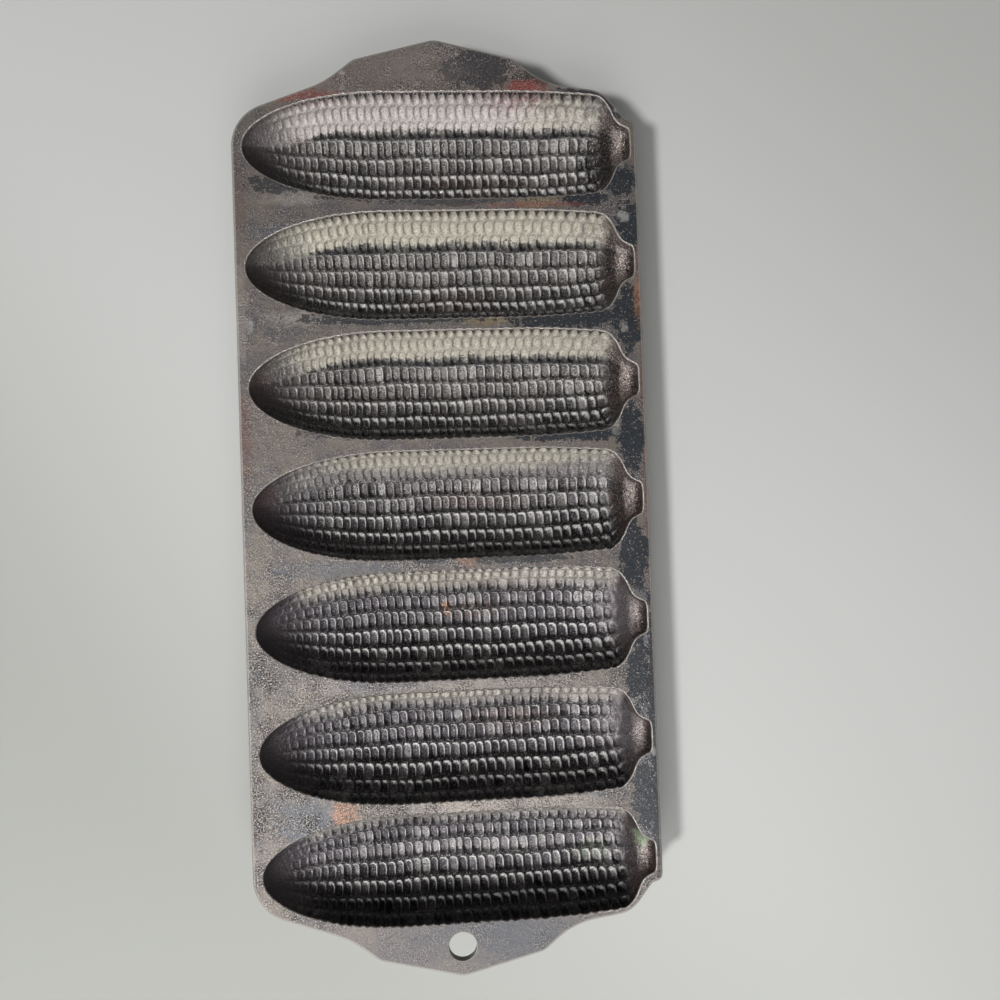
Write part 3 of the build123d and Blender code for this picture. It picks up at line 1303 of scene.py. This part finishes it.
@dataclass(frozen=True)
class DeckFinish:
    """Worn cast iron, ground flat: brown and grey, with dark skins of burnt on oil and small stains, and
    painted light that makes it paler towards the near end and on its rounded edges.

    Its first spans are stretches across or along the pan, and the others levels of a noise, over which
    something grows.
    """

    name: str = "worn_deck_iron"
    brown: Colour = tone(115, 107, 100)
    grey: Colour = tone(96, 92, 93)
    pale: Colour = tone(148, 142, 138)
    pit: Colour = tone(36, 34, 34)
    fleck: Colour = tone(192, 182, 172)
    worn_edge_and_highlight: Colour = tone(186, 180, 174)
    metal: float = 0.35
    rough: float = 0.5
    skin_rough: float = 0.36
    tab_roughening: float = 0.13
    clouds: Noise = Noise(13 * MM, detail=4, rough=0.6)
    frays: Noise = Noise(2.6 * MM, detail=4, rough=0.66, shift=3)
    grains: Noise = Noise(0.52 * MM, detail=2, rough=0.65, shift=7)
    mottles: Noise = Noise(1.1 * MM, detail=2, rough=0.6, shift=17)
    patches: Noise = Noise(5 * MM, detail=2, shift=21)
    scatters: Noise = Noise(0.7 * MM, detail=1, shift=11)
    relief: float = 0.4 * MM
    relief_strength: float = 0.9
    stem_side: Span = (30 * MM, 66 * MM)
    tip_side: Span = (-40 * MM, -66 * MM)
    near_half: Span = (40 * MM, -110 * MM)
    plain_tab: Span = (144 * MM, 150 * MM)
    plain_tab_point: Span = (144 * MM, 154 * MM)
    hang_tab: Span = (-144 * MM, -150 * MM)
    hang_tab_point: Span = (-146 * MM, -156 * MM)
    hang_tab_sheen: Span = (-138 * MM, -150 * MM)
    grey_clouds: Span = (0.42, 0.58)
    grey_frays: Span = (0.6, 0.66)
    mottled: Span = (0.42, 0.54)
    patched: Span = (0.36, 0.6)
    thick_clouds: Span = (0.4, 0.6)
    pit_grain: Span = (0.48, 0.38)
    fleck_grain: Span = (0.54, 0.62)
    border_grain: Span = (0.35, 0.6)
    scattered: Span = (0.64, 0.74)
    skin_border: Span = (0.2, 0.9)
    web_coarseness: float = 1.1
    stem_side_loss: float = 0.6
    tip_side_loss: float = 0.25
    hang_tab_loss: float = 0.25
    plain_tab_coarseness: float = 0.3
    fray_raggedness: float = 2.6
    fine_raggedness: float = 0.8
    lit_and_coarse_paleness: float = 0.15
    plain_tab_paleness: float = 0.22
    hang_tab_paleness: float = 0.18
    grey_share: float = 0.4
    least_mottle: float = 0.45
    least_speckle: float = 0.24
    coarse_speckle: float = 0.3
    coarse_patch_speckle: float = 0.5
    patch_speckle: float = 0.3
    skin_speckle_loss: float = 0.75
    hang_tab_speckle_loss: float = 0.6
    clear_speckle: float = 0.6
    cloud_speckle: float = 0.5
    speckle_share: float = 0.9
    scatter_share: float = 0.6
    border_share: float = 0.8
    edge_share: float = 0.55

    def coarse_and_lit_share(self, across: Wire, along: Wire) -> Wire:
        """How pale and coarse the ground is: most at the near end of the pan, and least by the stems. The
        paleness is partly painted light, brighter at the near end.

        Args:
            across: Where the point lies across the pan.
            along: Where it lies along the pan.

        Returns:
            The share, from 0 to about 1.
        """
        webs = self.web_coarseness - across.climb(*self.stem_side) * self.stem_side_loss
        webs = webs - across.climb(*self.tip_side) * self.tip_side_loss
        near = along.climb(*self.near_half) * webs
        near = near * (1 - along.climb(*self.hang_tab_point) * self.hang_tab_loss)
        return near + along.climb(*self.plain_tab_point) * self.plain_tab_coarseness

    def ground(self, tree: NodeTree, at: Wire, coarse_and_lit: Wire, along: Wire) -> Coat:
        """Makes the ground: brown and grey iron, paler where it is coarse and on the tabs; the paleness
        towards the near end is partly painted light.

        Args:
            tree: The finish's tree.
            at: The point's place.
            coarse_and_lit: How coarse the ground is, and how much of the painted paleness towards the near
                end lies there.
            along: Where the point lies along the pan.

        Returns:
            The coat that everything else is laid on.
        """
        clouds, frayed = tree.noise(at, self.clouds), tree.noise(at, self.frays)
        grain = tree.noise(at, self.grains)
        ragged = (frayed - 0.5) * self.fray_raggedness + (grain - 0.5) * self.fine_raggedness
        ragged = ragged + (clouds - 0.5) * self.fine_raggedness
        iron = tree.blend(clouds.climb(*self.grey_clouds), self.brown, self.grey)
        coat = Coat(tree, at, clouds, frayed, grain, ragged, iron)
        tabs = along.climb(*self.plain_tab) * self.plain_tab_paleness
        tabs = tabs + along.climb(*self.hang_tab) * self.hang_tab_paleness
        # Paler where coarse, partly painted light towards the near end, and paler on the tabs.
        coat.lay(coarse_and_lit * self.lit_and_coarse_paleness + tabs, self.pale)
        coat.lay((frayed + (grain - 0.5) * 0.5).climb(*self.grey_frays) * self.grey_share, self.grey)
        return coat

    def stains(self, coat: Coat) -> tuple[Wire, Wire]:
        """Lays the marks on.

        Args:
            coat: The coat that they are laid on.

        Returns:
            How much dark skin lies at each point, and how much the point lies on a skin's edge.
        """
        mottle = coat.tree.noise(coat.at, self.mottles).climb(*self.mottled)
        skins, border = [], []
        for mark in DECK_MARKS:
            share = coat.share(mark)
            if mark.kind in (MarkKind.CRUST, MarkKind.RUST):
                share = share * (self.least_mottle + mottle * (1 - self.least_mottle))
            coat.lay(share, mark.kind.colour)
            if mark.kind is MarkKind.SEASONING:
                skins.append(share)
                border.append(share * (mark.strength - share) * (4 / mark.strength))
        return reduce(Wire.most, skins), reduce(Wire.most, border)

    def speckle(self, coat: Coat, coarse_and_lit: Wire, along: Wire, skins: Wire) -> Wire:
        """Lays on the fine dark pits and pale flecks, few of them on the skins and on the tab with the hole.

        Args:
            coat: The coat that they are laid on.
            coarse_and_lit: How coarse the ground is, the same share that paints it paler towards the near
                end.
            along: Where the point lies along the pan.
            skins: How much dark skin lies there.

        Returns:
            How strong the pits and flecks are at each point.
        """
        patchy = coat.tree.noise(coat.at, self.patches).climb(*self.patched)
        strong = self.least_speckle + coarse_and_lit * (self.coarse_speckle + patchy * self.coarse_patch_speckle)
        strong = (strong + patchy * self.patch_speckle) * (1 - skins * self.skin_speckle_loss)
        strong = strong * (1 - along.climb(*self.hang_tab) * self.hang_tab_speckle_loss)
        strong = strong * (self.clear_speckle + coat.clouds.climb(*self.thick_clouds) * self.cloud_speckle)
        coat.lay(coat.grain.climb(*self.pit_grain) * strong * self.speckle_share, self.pit)
        coat.lay(coat.grain.climb(*self.fleck_grain) * strong * self.speckle_share, self.fleck)
        scattered = coat.tree.noise(coat.at, self.scatters).climb(*self.scattered)
        coat.lay(scattered * skins * self.scatter_share, self.fleck)
        return strong

    def build(self) -> bpy.types.Material:
        """Makes the finish's material.

        Returns:
            The material.
        """
        material = bpy.data.materials.new(self.name)
        material.use_nodes = True
        tree = NodeTree(material.node_tree)
        at = tree.places()
        across, along = tree.axis(at, "X"), tree.axis(at, "Y")
        coarse_and_lit = self.coarse_and_lit_share(across, along)
        coat = self.ground(tree, at, coarse_and_lit, along)
        skins, border = self.stains(coat)
        strong = self.speckle(coat, coarse_and_lit, along, skins)
        bordered = border.climb(*self.skin_border) * coat.grain.climb(*self.border_grain)
        coat.lay(bordered * self.border_share, self.pit)
        # Pale rounded edges, partly worn iron and partly a painted highlight where the edges catch the
        # light.
        coat.lay(tree.note("edge") * self.edge_share, self.worn_edge_and_highlight)
        height = coat.grain * strong + coat.frayed * 0.6 + skins * 0.5
        normal = tree.bump(height, self.relief, self.relief_strength)
        rough = self.rough - skins * (self.rough - self.skin_rough)
        rough = rough + along.climb(*self.hang_tab_sheen) * self.tab_roughening
        shader = tree.make("ShaderNodeBsdfPrincipled", sockets={
            "Base Color": coat.colour, "Metallic": self.metal, "Roughness": rough, "Normal": normal,
        })
        tree.make("ShaderNodeOutputMaterial", sockets={"Surface": shader})
        return material


class EarPlace:
    """Where in its ear each point lies, as the mould's mesh notes it.

    Along runs from 0 at the tip to 1 at the stem's end, and turn from 0 at the near rim to 1 at the far one.
    """

    def __init__(self, tree: NodeTree, at: Wire) -> None:
        """Reads the notes.

        Args:
            tree: The finish's tree.
            at: The point's place in the pan's own frame.
        """
        self.along, self.turn = tree.note("along"), tree.note("across")
        self.kernels, self.ear = tree.note("kernels"), tree.note("ear")
        self.x, self.y = tree.axis(at, "X"), tree.axis(at, "Y")


@dataclass(frozen=True)
class MouldFinish:
    """Seasoned iron in the moulds: dark, with a pale film on the far walls and a burnt brown husk end. The
    walls, the film and rim, the kernels and the lip also carry painted light and shade.

    Its spans are stretches of the pan's length or width, of the way along an ear or round it, or levels of a
    noise, over which something grows.
    """

    name: str = "seasoned_mould_iron"
    # Wall tones with painted light and shade: lit high on the far wall, shaded low on the near wall, darker
    # at the near ears.
    far_lit_wall: Colour = tone(130, 126, 124)
    far_shaded_wall: Colour = tone(72, 70, 73)
    near_lit_wall: Colour = tone(112, 108, 114)
    near_shade_and_dull: Colour = tone(50, 48, 55)
    # Pale polish on some kernels, and the painted highlight on the kernels' far and stem side edges.
    polish_and_highlight: Colour = tone(252, 249, 246)
    # The darkest tone, for the fine pits and for painted shade on the kernels, under the film, in the last
    # ear and on the lip.
    gap: Colour = tone(23, 22, 25)
    husk: Colour = tone(98, 76, 70)
    stem: Colour = tone(156, 144, 138)
    nose: Colour = tone(82, 75, 78)
    # The lip's pale line: worn edge and a painted highlight.
    lip: Colour = tone(196, 188, 182)
    fleck: Colour = tone(222, 216, 208)
    # The pale rim high on the far wall: film, partly a painted sheen.
    rim: Colour = tone(206, 199, 186)
    under: Colour = tone(52, 49, 48)
    metal: float = 0.6
    film_metal: float = 0.15
    rough: float = 0.28
    film_rough: float = 0.5
    clouds: Noise = Noise(9 * MM, detail=3, rough=0.6)
    frays: Noise = Noise(2.4 * MM, detail=4, rough=0.66, shift=3)
    grains: Noise = Noise(0.5 * MM, detail=2, rough=0.6, shift=7)
    streaks: Noise = Noise(1.1 * MM, detail=3, rough=0.7, shift=5)
    fan_size: tuple[float, float, float] = (60 * MM, 20 * MM, 10 * MM)
    relief: float = 0.4 * MM
    relief_strength: float = 1.0
    far_ears: Span = (-50 * MM, 50 * MM)
    darker_ears: Span = (-60 * MM, 100 * MM)
    filmed_ears: Span = (-24 * MM, 22 * MM)
    fourth_ear: Span = (24 * MM, 19 * MM)
    rimmed_ears: Span = (-125 * MM, -40 * MM)
    banded_ears: Span = (18 * MM, 26 * MM)
    sunless_ears: Span = (6.4, 6.6)
    stem_side: Span = (30 * MM, 52 * MM)
    high_wall: Span = (0.2, 0.56)
    film_edge: Span = (0.7, 0.73)
    rim_edge: Span = (0.66, 0.75)
    band_start: Span = (0.664, 0.672)
    band_end: Span = (0.75, 0.7)
    sunless_wall: Span = (0.34, 0.26)
    film_nose: Span = (0.25, 0.04)
    bare_nose: Span = (0.17, 0.03)
    husk_edge: Span = (0.925, 0.95)
    stem_start: Span = (0.958, 0.966)
    stem_end: Span = (0.99, 0.984)
    stem_sides: Span = (0.38, 0.3)
    dark_clouds: Span = (0.6, 0.42)
    band_clouds: Span = (0.2, 0.4)
    streaked: Span = (0.4, 0.6)
    pit_grain: Span = (0.47, 0.36)
    fleck_grain: Span = (0.57, 0.67)
    stem_grain: Span = (0.4, 0.6)
    shade_grain: Span = (0.45, 0.6)
    glint_frays: Span = (0.3, 0.48)
    dulled: Span = (0.6, 1)
    polished: Span = (0.35, 0)
    shallow: Span = (0.1, 0)
    lit_wall: Span = (0.12, 0.42)
    filmed_wall: Span = (0.7, 0.6)
    far_lip: Span = (0.4, 0.6)
    fray_raggedness: float = 1.9
    grain_raggedness: float = 0.35
    dark_share: float = 0.25
    fourth_ear_widening: float = 0.05
    nose_widening: float = 0.1
    nose_film_loss: float = 0.5
    least_film: float = 0.2
    rim_share: float = 0.64
    far_rim_gain: float = 0.11
    dulled_share: float = 0.4
    polished_share: float = 0.2
    shade_share: float = 0.85
    far_gap_loss: float = 0.4
    filmed_shade_loss: float = 0.75
    worn_glint: float = 0.3
    glint_strength: float = 1.3
    least_glint: float = 0.3
    far_glint_loss: float = 0.2
    husk_share: float = 0.9
    nose_share: float = 0.8
    filmed_nose_loss: float = 0.85
    least_grit: float = 0.2
    pit_share: float = 0.85
    filmed_pit_loss: float = 0.35
    fleck_share: float = 0.45
    far_fleck_gain: float = 0.25
    sunless_share: float = 0.55
    band_share: float = 0.85
    gap_share: float = 0.9
    lip_share: float = 0.2
    shining_lip_gain: float = 0.55
    dark_lip_share: float = 0.6

    def ground(self, tree: NodeTree, at: Wire, place: EarPlace) -> Coat:
        """Makes the bare walls with painted light and shade: lighter high on the far wall than low down on
        the near wall, and darker at the near ears.

        Args:
            tree: The finish's tree.
            at: The point's place.
            place: Its place in its ear.

        Returns:
            The coat that everything else is laid on.
        """
        clouds, frayed = tree.noise(at, self.clouds), tree.noise(at, self.frays)
        grain = tree.noise(at, self.grains)
        ragged = (frayed - 0.5) * self.fray_raggedness + (grain - 0.5) * self.grain_raggedness
        # Painted light and shade: the far wall light, the near wall dark, and the near ears darker.
        low = tree.blend(place.y.climb(*self.darker_ears), self.near_shade_and_dull, self.far_shaded_wall)
        high = tree.blend(place.y.climb(*self.far_ears), self.near_lit_wall, self.far_lit_wall)
        walls = tree.blend((place.turn + (clouds - 0.5) * 0.2).climb(*self.high_wall), low, high)
        coat = Coat(tree, at, clouds, frayed, grain, ragged, walls)
        dark = (clouds + (frayed - 0.5) * 0.6).climb(*self.dark_clouds)
        coat.lay(dark * self.dark_share, self.near_shade_and_dull)
        coat.stain(MOULD_MARKS)
        return coat

    def film_and_sheen(self, coat: Coat, place: EarPlace) -> Wire:
        """Lays the pale film high on the far walls, and a pale rim above it where the film is thin; both are
        partly a painted sheen on the walls that face the lamps.

        Args:
            coat: The coat that they are laid on.
            place: Each point's place in its ear.

        Returns:
            How much film and rim lies at each point.
        """
        # The film high on the far walls is partly a painted sheen where those walls face the lamps.
        wider = place.y.climb(*self.fourth_ear) * self.fourth_ear_widening
        wider = wider + place.along.climb(*self.film_nose) * self.nose_widening
        frayed = (coat.frayed - 0.5) * 0.13 + (coat.grain - 0.5) * 0.03 - coat.tree.note("painted_shade") * 0.015
        filmed = (place.turn + wider + frayed).climb(*self.film_edge)
        filmed = filmed * (1 - place.along.climb(*self.bare_nose) * self.nose_film_loss)
        films = replace(coat)
        films.stain(FILM_AND_SHEEN_MARKS)
        coat.lay(filmed, films.colour)
        upper = filmed * (self.least_film + place.y.climb(*self.filmed_ears) * (1 - self.least_film))
        # The pale rim on the top rows of the far wall is likewise partly a painted sheen.
        rim = (place.turn + (coat.frayed - 0.5) * 0.12).climb(*self.rim_edge) * place.kernels.climb(0.1, 0.5)
        shown = self.rim_share + place.y.climb(*self.rimmed_ears) * self.far_rim_gain
        coat.lay(rim * shown * (1 - upper), self.rim)
        return upper.most(rim * 0.7)

    def kernels(self, coat: Coat, place: EarPlace, upper: Wire) -> Wire:
        """Lays on what differs from kernel to kernel: their wear, painted shade on their near and tip sides
        and on the crests between them, and a painted highlight along their far and stem side edges.

        Args:
            coat: The coat that they are laid on.
            place: Each point's place in its ear.
            upper: How much film lies there.

        Returns:
            How strong the painted highlight on the kernels' edges is at each point.
        """
        tree, far_ears = coat.tree, place.y.climb(*self.far_ears)
        worn, bare = tree.note("worn"), place.kernels * (1 - upper)
        coat.lay(worn.climb(*self.dulled) * bare * self.dulled_share, self.near_shade_and_dull)
        coat.lay(worn.climb(*self.polished) * bare * self.polished_share, self.polish_and_highlight)
        # Painted shade on the crests between kernels and on each kernel's near and tip side walls.
        gaps = tree.note("pit").climb(*self.shallow) * (1 - far_ears * self.far_gap_loss)
        painted_shade = (tree.note("painted_shade") * self.shade_share).most(gaps)
        painted_shade = painted_shade * place.kernels * (1 - upper * self.filmed_shade_loss)
        coat.lay(painted_shade * (0.95 - coat.grain.climb(*self.shade_grain) * 0.3), self.gap)
        # Painted highlight along each kernel's far and stem side edge.
        patchy = (coat.frayed + worn * self.worn_glint).climb(*self.glint_frays)
        glints = (tree.note("glint") * bare * patchy * self.glint_strength).least(1)
        glints = glints * (self.least_glint + place.turn.climb(*self.lit_wall) * (1 - self.least_glint))
        glints = glints * (1 - far_ears * place.turn.climb(*self.filmed_wall) * self.far_glint_loss)
        coat.lay(glints, self.polish_and_highlight)
        return glints

    def ends(self, coat: Coat, place: EarPlace, upper: Wire) -> Wire:
        """Lays on the burnt husk end with its streaks, the pale stem notch and the dark nose.

        Args:
            coat: The coat that they are laid on.
            place: Each point's place in its ear.
            upper: How much film lies there.

        Returns:
            The husk end's share at each point.
        """
        tree = coat.tree
        spread = (place.turn, place.along, place.ear)
        fanned = tree.joined(*(wire * size for wire, size in zip(spread, self.fan_size)))
        streaks = tree.noise(fanned, self.streaks)
        husk = (place.along + (coat.frayed - 0.5) * 0.04).climb(*self.husk_edge)
        coat.lay(husk * self.husk_share, tree.blend(streaks.climb(*self.streaked), self.gap, self.husk))
        stem = (place.along + (coat.frayed - 0.5) * 0.012).climb(*self.stem_start)
        stem = stem * place.along.climb(*self.stem_end) * (place.turn - 0.5).size().climb(*self.stem_sides)
        coat.lay(stem * (0.55 + coat.grain.climb(*self.stem_grain) * 0.4), self.stem)
        coat.stain(STEM_MARKS)
        nose = (place.along + (coat.frayed - 0.5) * 0.05).climb(*self.bare_nose)
        coat.lay(nose * (1 - upper * self.filmed_nose_loss) * self.nose_share, self.nose)
        return husk

    def shade(self, coat: Coat, place: EarPlace, upper: Wire, husk: Wire) -> None:
        """Lays on the fine grit, painted shade under the film of the far ears and low on the near wall of
        the last ear, and dark spaces between the rim kernels' arches.

        Args:
            coat: The coat that they are laid on.
            place: Each point's place in its ear.
            upper: How much film lies there.
            husk: The husk end's share there.
        """
        gritty = place.kernels.climb(0.1, 0.7).most(upper).most(husk)
        gritty = self.least_grit + gritty * (1 - self.least_grit)
        pitted = self.pit_share - upper * self.filmed_pit_loss
        coat.lay(coat.grain.climb(*self.pit_grain) * pitted * gritty, self.gap)
        pale = self.fleck_share + place.y.climb(*self.far_ears) * self.far_fleck_gain
        coat.lay(coat.grain.climb(*self.fleck_grain) * pale * gritty, self.fleck)
        # Painted shade low on the near wall of the last ear.
        sunless = place.turn.climb(*self.sunless_wall) * place.kernels.climb(0.2, 0.7)
        coat.lay(sunless * place.ear.climb(*self.sunless_ears) * self.sunless_share, self.gap)
        # Painted shade in a band under the film of the far ears.
        band = (place.turn + (coat.frayed - 0.5) * 0.16).climb(*self.band_end)
        band = band * place.turn.climb(*self.band_start) * place.y.climb(*self.banded_ears)
        band = band * (1 - upper) * place.kernels * coat.clouds.climb(*self.band_clouds)
        coat.lay(band * self.band_share, self.gap)
        coat.lay(coat.tree.note("gap") * place.kernels * self.gap_share, self.gap)

    def outer(self, coat: Coat, place: EarPlace) -> None:
        """Lays on the plain underside, and the lip's pale line, partly worn edge and partly a painted
        highlight that is brightest on the far ears and by the stems, with painted shade on it where it
        doesn't shine.

        Args:
            coat: The coat that they are laid on.
            place: Each point's place in its ear.
        """
        coat.lay(coat.tree.note("inside").climb(0.9, 0.1), self.under)
        # Painted highlight along the lip, strongest on the far ears and by the stems, and painted shade on
        # the lip's far side where it doesn't shine.
        shining = place.y.climb(*self.far_ears).most(place.x.climb(*self.stem_side))
        lip = coat.tree.note("lip").climb(0.1, 0.6)
        coat.lay(lip * (self.lip_share + shining * self.shining_lip_gain + (coat.grain - 0.5)), self.lip)
        coat.lay(lip * (1 - shining) * place.turn.climb(*self.far_lip) * self.dark_lip_share, self.gap)

    def build(self) -> bpy.types.Material:
        """Makes the finish's material.

        Returns:
            The material.
        """
        material = bpy.data.materials.new(self.name)
        material.use_nodes = True
        tree = NodeTree(material.node_tree)
        at = tree.places()
        place = EarPlace(tree, at)
        coat = self.ground(tree, at, place)
        upper = self.film_and_sheen(coat, place)
        glints = self.kernels(coat, place, upper)
        husk = self.ends(coat, place, upper)
        self.shade(coat, place, upper, husk)
        self.outer(coat, place)
        shader = tree.make("ShaderNodeBsdfPrincipled", sockets={
            "Base Color": coat.colour,
            "Metallic": self.metal - upper.most(glints) * (self.metal - self.film_metal),
            "Roughness": self.rough + upper * (self.film_rough - self.rough),
            "Normal": tree.bump(coat.grain + coat.frayed * 0.5, self.relief, self.relief_strength),
        })
        tree.make("ShaderNodeOutputMaterial", sockets={"Surface": shader})
        return material


@dataclass(frozen=True)
class FloorFinish:
    """The pale grey sheet that the pan lies on, with painted shade that darkens it towards its near left
    corner, its far right corner and its near end.
    """

    name: str = "pale_floor"
    pale: Colour = tone(204, 205, 202)
    floor_shade: Colour = tone(172, 173, 168)
    near_corner: Span = (0, -250 * MM)
    far_corner: Span = (150 * MM, 400 * MM)
    near_end: Span = (0, -260 * MM)
    far_corner_share: float = 0.34
    near_end_share: float = 0.35
    rough: float = 0.7
    specular: float = 0.2

    def build(self) -> bpy.types.Material:
        """Makes the finish's material.

        Returns:
            The material.
        """
        material = bpy.data.materials.new(self.name)
        material.use_nodes = True
        tree = NodeTree(material.node_tree)
        at = tree.places()
        askew = tree.axis(at, "X") + tree.axis(at, "Y")
        # Painted shade: darker towards the near left corner, the far right corner and the near end.
        colour = tree.blend(askew.climb(*self.near_corner), self.pale, self.floor_shade)
        colour = tree.blend(askew.climb(*self.far_corner) * self.far_corner_share, colour, self.floor_shade)
        near = tree.axis(at, "Y").climb(*self.near_end) * self.near_end_share
        colour = tree.blend(near, colour, self.floor_shade)
        shader = tree.make("ShaderNodeBsdfPrincipled", sockets={
            "Base Color": colour, "Roughness": self.rough, "Specular IOR Level": self.specular,
        })
        tree.make("ShaderNodeOutputMaterial", sockets={"Surface": shader})
        return material


@dataclass(frozen=True)
class SoftLamp:
    """A soft square lamp that faces the pan."""

    name: str
    azimuth: float
    elevation: float
    distance: float
    side: float
    radiance: float
    colour: Colour = (1.0, 1.0, 1.0)

    def build(self) -> bpy.types.Object:
        """Hangs the lamp.

        Returns:
            Its object.
        """
        lamp = bpy.data.lights.new(self.name, "AREA")
        lamp.shape, lamp.size = "SQUARE", self.side
        lamp.energy = self.radiance * math.pi * self.side**2
        lamp.color = self.colour
        turn, rise = math.radians(self.azimuth), math.radians(self.elevation)
        away = Vector((math.sin(turn) * math.cos(rise), -math.cos(turn) * math.cos(rise), math.sin(rise)))
        made = bpy.data.objects.new(self.name, lamp)
        made.location = away * self.distance
        made.rotation_mode = "QUATERNION"
        made.rotation_quaternion = away.to_track_quat("Z", "Y")
        bpy.context.scene.collection.objects.link(made)
        return made


@dataclass(frozen=True)
class Studio:
    """The floor, the lamps and the camera."""

    floor_half: float = 3.0
    sky: Colour = (0.1, 0.1, 0.1)
    lamps: tuple[SoftLamp, ...] = (
        SoftLamp("window_lamp", azimuth=-2, elevation=43, distance=0.6, side=0.4, radiance=3.3),
        SoftLamp("ceiling_lamp", azimuth=-8, elevation=62, distance=1.8, side=1.2, radiance=0.9),
        SoftLamp("side_lamp", azimuth=-60, elevation=56, distance=2.0, side=0.24, radiance=145.0),
    )
    focal: float = 28.51
    sensor: float = 36.0
    eye: tuple[float, float, float] = (2.97 * MM, -3.25 * MM, 306.9 * MM)
    tilt: tuple[float, float, float] = (math.radians(0.924), math.radians(-3.121), math.radians(-1.974))

    def build(self) -> None:
        """Sets up all of it."""
        self.floor()
        self.world()
        for lamp in self.lamps:
            lamp.build()
        self.camera()
        bpy.context.scene.view_settings.view_transform = "Standard"

    def floor(self) -> None:
        """Lays the pale floor."""
        mesh = bpy.data.meshes.new("floor")
        reach = self.floor_half
        corners = [(-reach, -reach, 0), (reach, -reach, 0), (reach, reach, 0), (-reach, reach, 0)]
        mesh.from_pydata(corners, [], [(0, 1, 2, 3)])
        mesh.materials.append(FloorFinish().build())
        made = bpy.data.objects.new("floor", mesh)
        bpy.context.scene.collection.objects.link(made)

    def world(self) -> None:
        """Gives the surroundings their plain colour."""
        world = bpy.data.worlds.new("studio")
        world.use_nodes = True
        tree = NodeTree(world.node_tree)
        sky = tree.make("ShaderNodeBackground", sockets={"Color": (*self.sky, 1), "Strength": 1.0})
        tree.make("ShaderNodeOutputWorld", sockets={"Surface": sky})
        bpy.context.scene.world = world

    def camera(self) -> None:
        """Stands the camera over the pan, where the photo was taken from."""
        lens = bpy.data.cameras.new("camera")
        lens.lens, lens.sensor_width = self.focal, self.sensor
        lens.clip_start = 10 * MM
        made = bpy.data.objects.new("camera", lens)
        made.location = self.eye
        made.rotation_euler = self.tilt
        bpy.context.scene.collection.objects.link(made)
        bpy.context.scene.camera = made


@dataclass
class CornStickPan:
    """The whole pan."""

    ear_count: int = 7
    tip_land: float = 1.7 * MM
    side_wall: float = 2.3 * MM

    def dress(self, made: bpy.types.Object, node: str, material: bpy.types.Material) -> None:
        """Puts a piece in its node's place on the pan.

        Args:
            made: The piece.
            node: The node that it stands for.
            material: That finish.
        """
        made.data.materials.append(material)
        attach(made, BODY)
        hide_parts(node)
        LOG.info("%s stands for %s with %d faces", made.name, node, len(made.data.polygons))

    def build(self) -> None:
        """Builds the moulds, the deck and the tabs."""
        low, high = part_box("deck_plate")
        tip_x = low[0] + self.tip_land + self.side_wall
        mould_iron, deck_iron = MouldFinish().build(), DeckFinish().build()
        lip_loops = []
        for number in range(1, self.ear_count + 1):
            node = f"cob_cup_{number}"
            mould = EarMould(number, node, tip_x, high[2])
            self.dress(mould.build(), node, mould_iron)
            lip_loops.append(mould.lip_loop)
        half_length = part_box("handle_tab_plain")[1][1]
        casting = DeckCasting(high[0], half_length, high[1], high[2], lip_loops)
        for node, made in casting.build().items():
            self.dress(made, node, deck_iron)


def main() -> None:
    """Builds the pan and its studio."""
    logging.basicConfig(level=logging.INFO, format="%(message)s")
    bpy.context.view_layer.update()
    CornStickPan().build()
    Studio().build()


if __name__ == "__main__":
    main()
